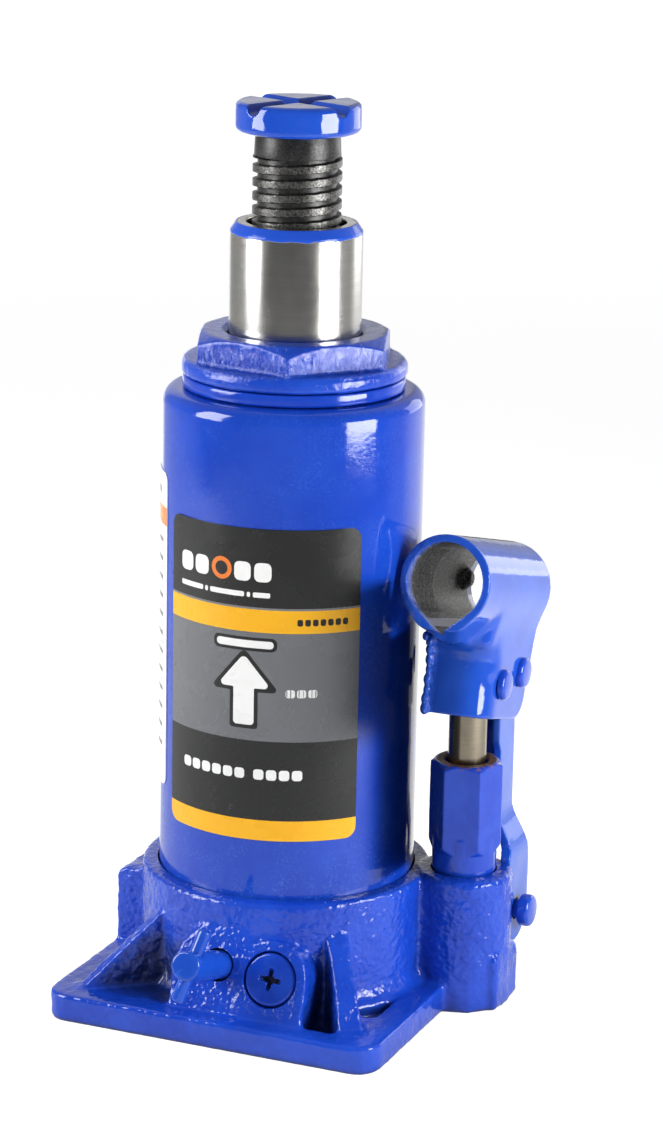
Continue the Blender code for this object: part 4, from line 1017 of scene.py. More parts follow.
def pump():
    top = PUMP_TOP
    cone = rounded([(0, top), (9.3, top), (11.7, top - 2.0), (11.7, 50.2), (9.4, 46.8),
                    (0, 46.8)], [0, 0.6, 0, 0, 0, 0], 4)
    body = common(sheet(hexagon(10.9, 42.6), 46.6, top, PUMP_PLACE),
                  turned(cone, 96, PUMP_PLACE))
    neck = [(0, 52.0), (9.6, 52.0), (9.6, 41.2), (9.3, 41.0), (9.3, 23.8), (8.6, 23.1), (0, 23.1)]
    body = skin(heap(body, turned(neck, 96, PUMP_PLACE)), fine=(0.3, 5), quick=(0.4, 3))
    body = grain(body, [(5.0, 0.10, 6.0), (1.8, 0.04, 1.0)], above(40.0, 42.0))
    bore = [(0, 90), (7.4, 90), (6.9, top + 0.1), (6.0, top - 0.9), (6.0, 10), (0, 10)]
    body = cut(body, turned(bore, 64, PUMP_PLACE))
    finish(body, "pump_cylinder_skin", pump_enamel(), "pump_cylinder", sharp=50)


def plunger():
    """Domed rod with a groove near its foot and a cross hole for its pin."""
    low, high = span("pump_plunger")
    radius, top = 5.7, high[2]
    profile = rounded([(0, top), (2.6, top - 0.2), (4.6, top - 1.2), (radius, top - 3.0),
                       (radius, 44.6), (4.0, 44.6), (4.0, 40.0), (radius, 40.0),
                       (radius, low[2]), (0, low[2])],
                      [0, 1, 1, 1, 0.2, 0.2, 0.2, 0.2, 0.6, 0], 3)
    ob = turned(profile, 96, PUMP_PLACE)
    ob = cut(ob, rod(3.3, 40.0, 65.0, 32, along_x(*PLUNGER_PIN)))
    metal = steel("plunger_steel", (0.33, 0.29, 0.22), rough=0.22, brush=0.2, stain=0.7,
                  stain_color=(0.16, 0.11, 0.06), rust=0.6)
    finish(ob, "pump_plunger_rod", metal, "pump_plunger", "plunger", sharp=30)


# ================================================================ lever socket, link and pins
BORE_R, BORE_TIP = 11.5, 15.1       # teardrop bore: radius, and depth of its lower tip
SKIRT_PLATE = 2.6
# half width and height of the neck, from skirt to tube
NECK = [(10.0, 7.0), (10.05, 10.0), (10.25, 13.0), (10.7, 16.0), (11.4, 18.8), (12.1, 21.0),
        (12.9, 23.5), (13.3, 25.2)]
# plans of the neck: z range, half width, front y, left and right corner radius
NECK_PLANS = [
    (2.0, 12.0, 10.6, SKIRT_FRONT - 0.2, 3.8, 9.0),
    (8.0, 14.0, 10.6, SKIRT_FRONT - 1.6, 4.4, 8.6),
    (10.0, 26.0, 13.6, SKIRT_FRONT - 3.4, 5.0, 8.6),
]
# weld beads down the left front edge: x from the skirt's left side, y, z, radius
BEADS = [
    (1.9, -19.0, 11.7, 1.1), (2.1, -15.6, 10.2, 1.3), (1.5, -13.6, 7.8, 1.2),
    (1.4, -12.2, 4.9, 1.35), (1.4, -11.8, 2.0, 1.1), (1.3, -11.7, -0.9, 1.3),
    (1.4, -11.8, -3.9, 1.05), (1.3, -11.7, -6.6, 1.3), (1.5, -11.6, -9.4, 1.45),
]


def u_plan(half, front, left, right, back, steps):
    """Plan with rounded front corners, the right one of the given steps."""
    return (arc(PUMP_X - half + left, front + left, left, 180, 270, 10)
            + arc(PUMP_X + half - right, front + right, right, 270, 360, steps)
            + [(PUMP_X + half, back), (PUMP_X - half, back)])


def skirt_plan(inset, back):
    return u_plan(10.0 - inset, SKIRT_FRONT + inset, 3.8 - inset, 9.0 - inset, back, 20)


def flare():
    """Side view of the plate, sweeping forward from the skirt to the mouth of the tube."""
    mouth = TUBE_Y0 - 4.0
    front = [(SKIRT_FRONT + 0.6 + (mouth - SKIRT_FRONT) * (i / 12) ** 2, 2.0 + 13.2 * i / 12)
             for i in range(13)]
    outline = front + [(mouth, 26.0), (TUBE_Y1 + 4.0, 26.0), (TUBE_Y1 + 4.0, 2.0)]
    return sheet(outline, 30.0, 75.0, SIDE)


def neck_solids():
    """The plate swells from the skirt out to the tube in a smooth S."""
    profile = [(PUMP_X - half, z) for half, z in NECK]
    profile += [(PUMP_X + half, z) for half, z in reversed(NECK)]
    plans = [sheet(u_plan(half, front, left, right, 40.0, 14), z0, z1)
             for z0, z1, half, front, left, right in NECK_PLANS]
    neck = common(sheet(profile, -60.0, 60.0, FRONT), flare(), plans[2])
    lower = [common(plan, flare()) for plan in plans[:2]]
    # in front of the skirt the plate closes in a V under the mouth
    vee = rounded([(PUMP_X - 9.9, 18.5), (PUMP_X - 2.9, 10.4), (PUMP_X + 2.9, 10.4),
                   (PUMP_X + 9.9, 18.5), (PUMP_X, 24.0)], [0, 2.0, 2.0, 0, 0], 5, True)
    return [neck, common(sheet(vee, 4.0, 60.0, FRONT), flare()), *lower]


def socket_trim():
    """Side view that trims the skirt's rear corner and both ends of the tube."""
    rear = [(SKIRT_BACK + (TUBE_Y1 - SKIRT_BACK) * ease(t), 7.0 + 8.0 * t)
            for t in (0.8, 0.6, 0.4, 0.2, 0.0)]
    outline = (arc(SKIRT_BACK - 7.5, SKIRT_Z0 + 7.5, 7.5, 0, -90, 14)
               + [(-17.0, SKIRT_Z0), (TUBE_Y0, 4.0), (TUBE_Y0, 50.0), (TUBE_Y1, 50.0),
                  (TUBE_Y1, 15.0)] + rear)
    return sheet(outline, 30.0, 75.0, SIDE)


def bead(x, y, z, radius):
    bm = bmesh.new()
    bmesh.ops.create_uvsphere(bm, u_segments=16, v_segments=10, radius=1.0)
    for v in bm.verts:
        v.co = Vector(((PUMP_X - 10.0 + x + v.co.x * radius) * MM,
                       (y + v.co.y * radius) * MM, (z + v.co.z * radius * 1.4) * MM))
    return put_bmesh(bm)


def tube_bore():
    half = math.degrees(math.acos(BORE_R / BORE_TIP))
    teardrop = arc(PUMP_X, TUBE_UP, BORE_R, -90 + half, 270 - half, 56)
    teardrop.append((PUMP_X, TUBE_UP - BORE_TIP))
    return sheet(rounded(teardrop, [0] * 57 + [0.6], 4, True), -60.0, 60.0, FRONT)


def socket_enamel():
    """Blue outside; bare, speckled steel inside the tube, overspray reaching in at both ends."""
    net = Material("socket_enamel")
    x, y, z = net.xyz[0], net.xyz[1], net.xyz[2]
    cosine, sine = math.cos(LEVER_TILT), math.sin(LEVER_TILT)
    aside = net.sub(x, PUMP_X * MM)
    from_y, from_z = net.sub(y, PLUNGER_PIN[0] * MM), net.sub(z, PLUNGER_PIN[1] * MM)
    along = net.sub(net.mul(from_y, cosine), net.mul(from_z, sine))
    up = net.add(net.mul(from_y, sine), net.mul(from_z, cosine))
    radius = net.radius(aside, net.sub(up, TUBE_UP * MM))
    blue = net.blues(14, (0.011, 0.074, 0.51), (0.017, 0.098, 0.60))
    blue = net.thin_edges(blue, thin=(0.05, 0.18, 0.68))
    lip = net.noise(2.6, detail=4, warp=0.6, shift=(3, 1, 1))
    depth = net.math('MINIMUM', net.sub(along, TUBE_Y0 * MM), net.sub(TUBE_Y1 * MM, along))
    deep = net.ramp(net.add(depth, net.mul(lip, -0.0045)), (0.0002, 0.0028))
    tip = net.mul(net.ramp(radius, (0.0151, 0.0148)),
                  net.ramp(net.math('ABSOLUTE', aside), (0.0030, 0.0024)))
    bore = net.math('MAXIMUM', net.ramp(radius, (0.0121, 0.0118)), tip)
    inner = net.mul(net.mul(bore, deep), net.ramp(up, (0.0116, 0.0122)))
    grit = net.noise(0.62, rough=0.7, shift=(2, 2, 2))
    bare = net.mix(net.ramp(grit, (0.44, 0.58)), (0.02, 0.02, 0.018), (0.26, 0.255, 0.235))
    bare = net.mix(net.ramp(net.noise(5, warp=0.5), (0.4, 0.7), (0.0, 0.55)),
                   bare, (0.10, 0.095, 0.08))
    color = net.mix(inner, blue, bare)
    sheen = net.lerp(inner, net.sheen(9, (0.05, 0.10), shift=(0, 0, 0)), 0.5)
    normal = net.peel(1.8, strength=0.10)
    # lumpy weld seam down the left front edge
    seam = net.mul(net.ramp(x, ((PUMP_X - 5.6) * MM, (PUMP_X - 7.4) * MM)),
                   net.ramp(along, (-0.0078, -0.0100)))
    lumps = net.mul(net.noise(1.7, detail=4, warp=0.8), seam)
    normal = net.bump(lumps, strength=0.8, depth=0.8, under=normal)
    normal = net.bump(net.mul(grit, inner), strength=0.6, depth=0.15, under=normal)
    return net.painted(color, sheen, normal, coat=net.lerp(inner, 0.25, 0.0),
                       Metallic=net.mul(inner, 0.35))


def socket():
    ring = sheet(circle(PUMP_X, TUBE_UP, TUBE_R + 0.1, 96), -TUBE_Y1 - 4.0, -TUBE_Y0 + 4.0, FRONT)
    skirt = sheet(skirt_plan(0.0, SKIRT_BACK + 4.0), SKIRT_Z0 - 4.0, TUBE_UP - 8.0)
    body = skin(heap(ring, skirt, *neck_solids()), fine=(0.7, 48))
    body = common(body, socket_trim())
    body = skin(heap(body, *[bead(*row) for row in BEADS]), fine=(0.42, 4), quick=(0.5, 2))
    body = cut(body, tube_bore(), sheet(skirt_plan(SKIRT_PLATE, 60.0), -40.0, SKIRT_ROOF))
    # pressed-in stop on the left inner wall of the tube
    stop = rounded([(0, 4.4), (1.9, 4.2), (3.2, 2.6), (4.2, 0.0), (0, 0.0)],
                   [0, 0.6, 0.8, 0, 0], 3)
    stop_place = axes((0, 1, 0), (0, 0, 1), (1, 0, 0), (PUMP_X - 12.5, 15.5, TUBE_UP + 1.0))
    body = skin(heap(body, turned(stop, 32, stop_place)), fine=(0.29, 3), quick=(0.40, 2))
    # from the lever's own frame to its place on the plunger pin
    x, y, z = coords(body).T
    cosine, sine = math.cos(LEVER_TILT), math.sin(LEVER_TILT)
    set_coords(body, np.stack([x, PLUNGER_PIN[0] * MM + y * cosine + z * sine,
                               PLUNGER_PIN[1] * MM - y * sine + z * cosine], 1))
    body = grain(body, [(8.0, 0.04, 6.0), (2.2, 0.012, 1.0)])
    for pin in (PLUNGER_PIN, LINK_TOP_PIN):
        body = cut(body, rod(3.25, 30.0, 75.0, 32, along_x(*pin)))
    finish(body, "handle_socket_skin", socket_enamel(), "handle_socket", "lever",
           sharp=50)


def link_strip(side):
    """One cheek of the link in front view, an S bend from the narrow top to the wide foot."""
    top_in, top_out, foot_in, foot_out = [PUMP_X + side * x for x in (4.1, 6.5, 8.45, 11.4)]
    outer, inner = [], []
    for i in range(11):
        z, bend = 56.0 - 15.0 * i / 10, ease(i / 10)
        outer.append((PUMP_X + side * (6.5 + (11.4 - 6.5) * bend), z))
        inner.append((PUMP_X + side * (4.1 + (8.45 - 4.1) * bend), z - 0.6))
    strip = ([(top_in, 108.0), (top_out, 108.0)] + outer + [(foot_out, 8.0), (foot_in, 8.0)]
             + inner[::-1])
    if side < 0:
        strip.reverse()
    return sheet(strip, -42.0, -14.0, FRONT)


def link():
    body = join(link_strip(-1), link_strip(1),
                box((PUMP_X - 5.5, 32.5, 60.0), (PUMP_X + 5.5, 34.9, 104.2)))
    pin_y, pin_z = LINK_TOP_PIN
    outline = (rounded([(21.9, 77.5), (23.6, 74.5), (23.6, 45.0), (20.9, 42.0), (20.9, 24.0)],
                       [0, 1.5, 4.0, 2.0, 0])
               + arc(*LINK_BASE_PIN, 10.0, 228, 360, 24)
               + rounded([(37.6, 30.0), (37.2, 42.0), (35.2, 55.0), (34.9, 98.0)], 9.0, 8)
               + arc(pin_y + 0.2, pin_z, 6.5, 0, 9, 2) + arc(pin_y + 0.2, pin_z, 6.5, 73, 180, 12))
    body = common(body, sheet(outline, 30.0, 75.0, SIDE))
    body = skin(body, fine=(0.33, 3), quick=(0.42, 2))
    body = grain(body, [(8.0, 0.08, 6.0)])
    slot = arc(pin_y + 0.25, pin_z, 3.75, -90, 90, 16) + arc(pin_y - 1.75, pin_z, 3.75, 90, 270, 16)
    body = cut(body, rod(3.3, 30.0, 75.0, 32, along_x(*LINK_BASE_PIN)),
               sheet(slot, 30.0, 75.0, SIDE))
    paint = enamel("link_enamel", peel_size=2.0, tint=0.35)
    finish(body, "link_skin", paint, "link", "link", sharp=50)


def rivet(name, node, paint):
    """Lever pin with a head at each end."""
    low, high = span(node)
    shank, head = 3.0, (high[1] - low[1]) / 2
    left, right = low[0] + 2.2, high[0] - 2.2
    profile = rounded([(0, high[0]), (head - 0.2, high[0] - 0.25), (head, right), (shank, right),
                       (shank, left), (head - 0.4, left), (head - 0.5, low[0] + 0.2),
                       (0, low[0])], [0, 1.0, 0.2, 0, 0, 0.2, 1.0, 0])
    ob = turned(profile, 64, along_x(*centre(node)[1:]))
    ob = grain(ob, [(4.0, 0.10, 6.0)],
               lambda points, normals: (np.abs(points[:, 0] - PUMP_X) > 10.6) * 1.0)
    finish(ob, name, paint, node, "lever", sharp=40)


def pins():
    paint = enamel("rivet_enamel", peel=0.15, peel_size=1.4, rough=0.08, tint=0.1)
    rivet("plunger_rivet", "plunger_pin", paint)
    rivet("link_top_rivet", "link_top_pin", paint)
    low, high = span("link_base_pin")
    left, right = low[0], high[0]
    profile = rounded([(0, right), (4.8, right - 0.1), (4.85, right - 3.6), (3.0, right - 3.6),
                       (3.0, left + 0.6), (2.4, left), (0, left)],
                      [0, 1.1, 0.4, 0.1, 0.2, 0.1, 0])
    ob = turned(profile, 64, along_x(*LINK_BASE_PIN))
    finish(ob, "link_base_rivet", paint, "link_base_pin", sharp=40)


# ================================================================ valves
def release_valve():
    """Spindle standing out of its boss, with a tommy pin across its outer end."""
    radius = 4.35
    profile = rounded([(0, 23.9), (radius, 23.7), (radius, -3.0), (3.0, -3.0), (3.0, -5.4),
                       (4.3, -5.4), (4.3, -17.0), (2.2, -17.8), (1.4, -17.8), (0.9, -17.4),
                       (0, -17.4)], [0, 0.9, 0.2, 0, 0, 0, 0.2, 0, 0, 0, 0])
    profile = add_rows(profile, 40, lambda one, two: (one[0] == two[0] and one[1] > 10
                                                      and one[1] - two[1] > 12))
    stem = turned(profile, 72, VALVE_PLACE)
    paint = enamel("valve_enamel", peel=0.25, tint=0.2)
    to_face = np.array(VALVE_PLACE.inverted())

    def outside(points, normals):
        """Grain only where the spindle stands clear of the face."""
        local = np.c_[points * MM, np.ones(len(points))] @ to_face.T
        return smooth_step(local[:, 2] / MM, 1.0, 3.0)
    stem = grain(stem, [(4.0, 0.16, 6.0), (1.6, 0.05, 2.0)], outside)
    pin_place = (VALVE_PLACE @ at(0, 0, 19.0) @ Matrix.Rotation(math.radians(-15.0), 4, 'Z')
                 @ axes((1, 0, 0), (0, 0, -1), (0, 1, 0)))
    stem = cut(stem, rod(2.2, -12.0, 12.0, 32, pin_place))
    finish(stem, "release_valve_spindle", paint, "release_valve_stem",
           "valve_stem", sharp=40)
    profile = rounded([(0, 11.0), (1.98, 10.9), (1.98, -10.9), (0, -11.0)], [0, 0.7, 0.7, 0], 5)
    finish(turned(profile, 48, pin_place), "release_valve_tommy_pin", paint,
           "release_valve_cross_pin", "valve_stem", sharp=40)


def plug_enamel():
    """Blue paint, much darker at the bottom of the cross recess."""
    net = Material("plug_enamel")
    color = net.blues(6, (0.006, 0.050, 0.47), (0.012, 0.07, 0.55))
    face = sum(a * b * MM for a, b in zip(PLUG, VALVE_OUT))
    deep = net.ramp(net.sub(net.dot(net.co, VALVE_OUT), face), (-0.0009, -0.0014))
    color = net.mix(deep, color, (0.012, 0.02, 0.06))
    normal = net.peel(1.3, strength=0.2, detail=3, rough=0.5, warp=0.3)
    return net.painted(color, net.lerp(deep, 0.07, 0.4), normal)


def overload_plug():
    """Round cap with a cross recess."""
    radius = 7.8
    plug = turned(rounded([(0, -0.1), (radius, -0.1), (radius, -7.0), (0, -7.0)],
                          [0, 1.0, 0.3, 0], 5), 96, PLUG_PLACE)
    cross = []
    for turn, depth, narrowing in ((-3.0, 3.2, 0.0), (87.0, 3.0, 0.1)):
        bottom = 1.3 - narrowing
        slot = [(-3.9, 0.8), (-3.5, -0.1), (-bottom, -depth), (bottom, -depth), (3.5, -0.1),
                (3.9, 0.8 + narrowing)]
        place = PLUG_PLACE @ Matrix.Rotation(math.radians(turn), 4, 'Z') @ FRONT
        cross.append(sheet(slot, -0.72, 0.72, place))
    cross.append(turned([(0, 0.9), (1.75, 0.9), (1.5, -0.1), (1.0, -2.6), (0, -2.6)], 24,
                        PLUG_PLACE @ Matrix.Rotation(0.13, 4, 'Z')))
    plug = skin(cut(plug, join(*cross)), fine=(0.15, 4), quick=(0.22, 3))
    finish(plug, "overload_valve_cap", plug_enamel(), "overload_valve_plug",
           sharp=45)


def filler():
    """Rubber plug on the +Y side of the tank, with a blind hole in its head."""
    place = at(0, 0, 168.0) @ ALONG_Y
    profile = rounded([(0, 42.6), (5.6, 42.4), (6.6, 41.4), (6.6, 38.6), (4.25, 38.4),
                       (4.25, 34.6), (5.0, 33.9), (3.6, 31.6), (0, 31.6)],
                      [0, 1.0, 0.6, 0.4, 0.2, 0.2, 0.4, 0.4, 0])
    ob = turned(profile, 72, place)
    ob = cut(ob, turned([(0, 45), (1.9, 45), (1.7, 41.2), (0, 41.0)], 32, place))
    finish(ob, "filler_plug_rubber", rubber("filler_rubber", (0.02, 0.02, 0.021)),
           "filler_plug", sharp=40)


# ================================================================ labels
LABEL_R = TANK_R + 0.12   # inner face of the film
FILM = 0.25
INK = 0.03                # thickness of a printed shape, and rise of each layer
COLUMN = 1.2              # widest column of faces in a wrapped piece


def bisect(bm, point, normal):
    bmesh.ops.bisect_plane(bm, geom=bm.verts[:] + bm.edges[:] + bm.faces[:], dist=1e-7,
                           plane_co=point, plane_no=normal)


def wrap(ob, inner):
    """Bend a flat piece in (u, v, thickness) onto the tank; u runs round it from -Y to +X."""
    bm = bmesh.new()
    bm.from_mesh(ob.data)
    across = [v.co.x for v in bm.verts]
    low, high = min(across), max(across)
    columns = int(math.ceil((high - low) / (COLUMN * MM)))
    for i in range(1, columns):
        bisect(bm, (low + (high - low) * i / columns, 0, 0), (1, 0, 0))
    for v in bm.verts:
        turn = v.co.x / (LABEL_R * MM)
        radius = inner * MM + v.co.z
        v.co = (radius * math.sin(turn), -radius * math.cos(turn), v.co.y)
    bmesh.ops.recalc_face_normals(bm, faces=bm.faces)
    bm.to_mesh(ob.data)
    bm.free()
    return ob


def arc_mm(degrees):
    return math.radians(degrees) * LABEL_R


def printed(name, rgb, wear=0.4, gloss=0.28, **more):
    """Ink on film: slight unevenness, rubbed patches, fine scratches, a faint emboss."""
    net = Material(name)
    slow = net.noise(14, detail=4, warp=0.4)
    fine = net.noise(0.8, detail=4, rough=0.65, warp=0.2, shift=(1, 4, 2))
    color = net.mix(net.ramp(slow, (0.3, 0.75), (0.0, 0.5)), rgb, tone(rgb, 1.18, 0.004))
    scratch = net.noise(1.0, detail=5, rough=0.7, warp=1.2, stretch=(6.0, 6.0, 0.35),
                        shift=(7, 3, 1))
    scratch = net.ramp(scratch, (0.735, 0.76))
    patches = net.noise(7, detail=5, rough=0.7, warp=0.6, shift=(9, 9, 2))
    rub = net.mul(net.ramp(patches, (0.60, 0.74)), net.ramp(fine, (0.45, 0.6)))
    worn = net.mul(net.math('MAXIMUM', scratch, net.mul(rub, 0.35)), wear)
    color = net.mix(worn, color, tone(rgb, 0.6, 0.28))
    sheen = net.add(net.ramp(slow, (0.3, 0.8), (gloss * 0.85, gloss * 1.2)),
                    net.mul(scratch, 0.15))
    normal = net.bump(fine, strength=0.06, depth=0.03)
    emboss = net.noise(9, detail=2, rough=0.5)
    normal = net.bump(emboss, strength=0.25, depth=0.10, under=normal)
    return net.shader(Base_Color=color, Roughness=sheen, IOR=1.5, Normal=normal, **more)


def decal(name, outline, ink, layer=1):
    """A thin printed shape laid on the film."""
    ob = wrap(sheet(outline, 0.0, INK), LABEL_R + FILM - 0.01 + INK * (layer - 1))
    finish(ob, name, ink, sharp=40)


def lifting_arrow(x, grow):
    """Upward arrow, grown evenly for its dark outline."""
    stem, head = 3.1 + grow, 8.2 + grow * 2.2
    return rounded([(x - stem, 92.6 - grow), (x + stem, 92.6 - grow), (x + stem, 103.6 - grow),
                    (x + head, 103.6 - grow), (x, 113.6 + grow * 1.6),
                    (x - head, 103.6 - grow), (x - stem, 103.6 - grow)],
                   [1.0, 1.0, 0.4, 1.0, 1.4, 1.0, 0.4], 4, True)


def front_label():
    middle, half = arc_mm(8.3), arc_mm(46.3)
    left, right = middle - half, middle + half
    low, high = 58.1, 150.4
    black = printed("label_black", (0.014, 0.015, 0.014))
    lower_black = printed("label_black_lower", (0.013, 0.014, 0.013))
    yellow = printed("label_yellow", (0.90, 0.44, 0.008), wear=0.3)
    grey = printed("label_grey", (0.145, 0.152, 0.165))
    light_grey = printed("label_grey_light", (0.185, 0.19, 0.20))
    white = printed("label_white", (0.84, 0.84, 0.83), wear=0.25)
    # bands printed across the film: upper edge and ink, from below
    bands = [(64.2, yellow), (88.0, lower_black), (120.2, grey), (126.9, yellow),
             (127.5, light_grey), (high, black)]
    inks = [yellow, lower_black, grey, light_grey, black]
    film = sheet(rounded_rect(left, low, right, high, 3.4, 8), 0.0, FILM)
    bm = bmesh.new()
    bm.from_mesh(film.data)
    for top, _ in bands[:-1]:
        bisect(bm, (0, top * MM, 0), (0, 1, 0))
    bm.to_mesh(film.data)
    bm.free()
    film = wrap(film, LABEL_R)
    finish(film, "front_label_film", inks, "front_label", sharp=30)
    for face in film.data.polygons:
        for top, ink in bands:
            if face.center.z / MM <= top + 1e-6:
                face.material_index = inks.index(ink)
                break

    # a plain lifting pictogram on a grey panel
    panel = printed("label_grey_panel", (0.15, 0.155, 0.168))
    decal("label_panel", rounded_rect(left, 99.6, right, 119.9, 0.2), panel)
    dark = printed("label_outline", (0.012, 0.012, 0.012), wear=0.2)
    x = middle - 3.0
    decal("label_arrow_outline", lifting_arrow(x, 1.1), dark, layer=2)
    decal("label_arrow", lifting_arrow(x, 0.0), white, layer=3)
    decal("label_arrow_bar_outline", rounded_rect(x - 9.6, 114.6, x + 9.6, 118.6, 1.6, 4), dark,
          layer=2)
    decal("label_arrow_bar", rounded_rect(x - 8.6, 115.5, x + 8.6, 117.7, 1.0, 4), white, layer=3)

    # rows of plain bars: name, start from the left edge, v, height, widths, gap, ink
    for name, start, v, height, widths, gap, ink in (
            ("line_low", 6.8, 76.4, 3.1, [3.0] * 6, 0.7, white),
            ("line_low_b", 31.0, 76.4, 3.1, [3.0] * 4, 0.7, white),
            ("line_side", 40.0, 101.2, 2.4, [2.6] * 3, 0.6, white),
            ("line_stripe", 43.0, 122.4, 2.0, [1.6] * 7, 0.6, dark),
            ("line_top", 5.0, 130.4, 1.5, [9.0, 1.0, 11.0, 1.0, 5.0], 0.8, white),
            ("mark", 5.0, 135.0, 5.6, [5.0, 5.0], 1.0, white),
            ("mark_b", 24.5, 135.0, 5.6, [5.0, 5.0], 1.0, white)):
        u = left + start
        for i, width in enumerate(widths):
            bar = rounded_rect(u, v, u + width, v + height, height * 0.28)
            decal(f"label_{name}_{i}", bar, ink)
            u += width + gap
    orange = printed("label_orange", (0.80, 0.20, 0.03), wear=0.3)
    decal("label_mark_disc", circle(left + 20.4, 138.0, 3.3, 40), orange)
    decal("label_mark_ring", circle(left + 20.4, 138.0, 2.0, 32), black, layer=2)


def side_label():
    """Pale film on the left, its paper given a faint painted glow, with a ruled table of grey bars
    under an orange heading.
    """
    left, right = arc_mm(-130.0), arc_mm(-46.0)
    # painted light: the paper is given a faint glow of its own, though it is no lamp
    paper = printed("side_label_paper_glowing", (0.97, 0.97, 0.965), wear=0.3, gloss=0.3,
                    Emission_Color=(1, 1, 1, 1), Emission_Strength=0.22)
    film = wrap(sheet(rounded_rect(left, 66.0, right, 160.0, 3.0, 8), 0.0, FILM), LABEL_R)
    finish(film, "side_label_film", paper, "side_label", sharp=30)
    heading = printed("side_label_heading", (0.85, 0.29, 0.07), wear=0.3, gloss=0.3)
    ink = printed("side_label_ink", (0.20, 0.21, 0.22), wear=0.3, gloss=0.35)
    decal("side_heading", rounded_rect(left + 1.2, 144.5, right, 150.0, 0.3), heading)
    decal("side_title", rounded_rect(left + 8.0, 153.0, right - 6.0, 155.4), ink)
    for row in range(12):
        v = 139.0 - row * 5.6
        columns = ((3.0, 16.0 + (row * 7) % 5), (23.0, 36.0 + (row * 5) % 7), (44.0, 52.6))
        for column, (start, end) in enumerate(columns):
            bar = rounded_rect(left + start, v, left + end, v + 1.5, 0.4, 2)
            decal(f"side_row_{row * 3 + column}", bar, ink)
        rule = rounded_rect(left + 2.0, v - 2.1, right - 2.0, v - 1.8, 0.0)
        decal(f"side_rule_{row}", rule, ink)


# ================================================================ pieces that keep their CAD shape
def carried_over():
    for material, nodes in (
            (rubber("seal_rubber_black"),
             ("tank_base_gasket", "plunger_seal", "release_valve_o_ring")),
            (rubber("seal_polyurethane", (0.05, 0.035, 0.02), rough=0.45), ("ram_seal",)),
            (copper("gasket_copper_soft"), ("cylinder_base_gasket",)),
            (copper("washer_copper_soft"), ("pump_washer",)),
            (steel("cylinder_steel_honed", (0.52, 0.52, 0.50), rough=0.26, brush=0.2, stain=0.3),
             ("pressure_cylinder",)),
            (steel("retainer_steel_turned", (0.5, 0.5, 0.49), rough=0.32, brush=0.3, stain=0.2),
             ("ram_seal_retainer",)),
            (steel("stop_ring_bronze_turned", (0.62, 0.46, 0.24), rough=0.34, brush=0.2,
                   stain=0.3, stain_color=(0.20, 0.14, 0.07)), ("ram_stop_ring",)),
            (steel("snap_ring_steel_dark", (0.20, 0.20, 0.20), rough=0.34, brush=0.2, stain=0.3,
                   rings=False), ("screw_stop_ring", "link_pin_clip")),
            (steel("spring_wire_steel", (0.42, 0.42, 0.42), rough=0.28, brush=0.15, stain=0.2,
                   rings=False), ("overload_spring",)),
            (steel("ball_bearing_steel", (0.62, 0.62, 0.62), rough=0.10, brush=0.03, stain=0.1,
                   rings=False),
             ("release_valve_ball", "overload_ball", "suction_ball", "delivery_ball"))):
        for node in nodes:
            mesh = NODES[node].data
            mesh.materials.clear()
            mesh.materials.append(material)
            mesh.shade_smooth()
            mesh.set_sharp_from_angle(angle=math.radians(35))


# ================================================================ stage, light, camera (metres)
CAMERA_AT = (0.39780, -0.91151, 0.39678)
CAMERA_AXES = ((0.91911, 0.39357, 0.01845), (-0.11899, 0.23266, 0.96527),
               (0.37561, -0.88936, 0.26068))
CAMERA_TURN = math.degrees(math.atan2(CAMERA_AT[0], -CAMERA_AT[1]))
TO_CAMERA = (0.40, -0.9165)     # horizontal direction from the jack to the camera
BACK_GLOW = 0.30                # mirrored brightness of the surroundings behind the jack


def bearing(turn):
    """Horizontal direction at an angle in degrees from the camera's side."""
    angle = math.radians(CAMERA_TURN + turn)
    return math.sin(angle), -math.cos(angle)


def lobe(turn, edge, core, gain):
    """Bright patch of the surroundings: edge and core half angles, extra light."""
    return (*bearing(turn), math.cos(math.radians(edge)), math.cos(math.radians(core)), gain)


LOBES = [lobe(142.0, edge=36.0, core=12.0, gain=0.55), lobe(-169.0, edge=20.0, core=8.0, gain=0.95)]


def paper_floor():
    """White paper: seen evenly bright, and mirrored brighter behind the jack than before it."""
    bm = bmesh.new()
    bmesh.ops.create_grid(bm, x_segments=8, y_segments=8, size=12.0)
    floor = put_bmesh(bm, "floor")
    net = Material("pale_floor")
    path = net.node("LightPath").outputs
    x, y = net.xyz[0], net.xyz[1]
    ahead = net.add(net.mul(x, TO_CAMERA[0]), net.mul(y, TO_CAMERA[1]))
    far = net.radius(x, y)
    seen = net.mul(path["Is Camera Ray"], net.ramp(far, (0.3, 2.5), (0.72, 1.0)))
    inverse = net.math('DIVIDE', 1.0, net.math('MAXIMUM', far, 0.001))
    unit_x, unit_y = net.mul(x, inverse), net.mul(y, inverse)
    glow = BACK_GLOW
    for lobe_x, lobe_y, edge, core, gain in LOBES:
        facing = net.add(net.mul(unit_x, lobe_x), net.mul(unit_y, lobe_y))
        glow = net.add(glow, net.ramp(facing, (edge, core), (0.0, gain)))
    glow = net.mul(glow, net.ramp(ahead, (-0.10, 0.14), (1.0, 0.0)))
    mirrored = net.mul(path["Is Glossy Ray"], glow)
    color = net.mix(net.noise(60, rough=0.5), (0.78, 0.78, 0.78), (0.80, 0.80, 0.80))
    floor.data.materials.append(net.shader(
        Base_Color=color, Roughness=0.9, Specular_IOR_Level=0.1, Emission_Color=(1, 1, 1, 1),
        Emission_Strength=net.add(seen, mirrored)))


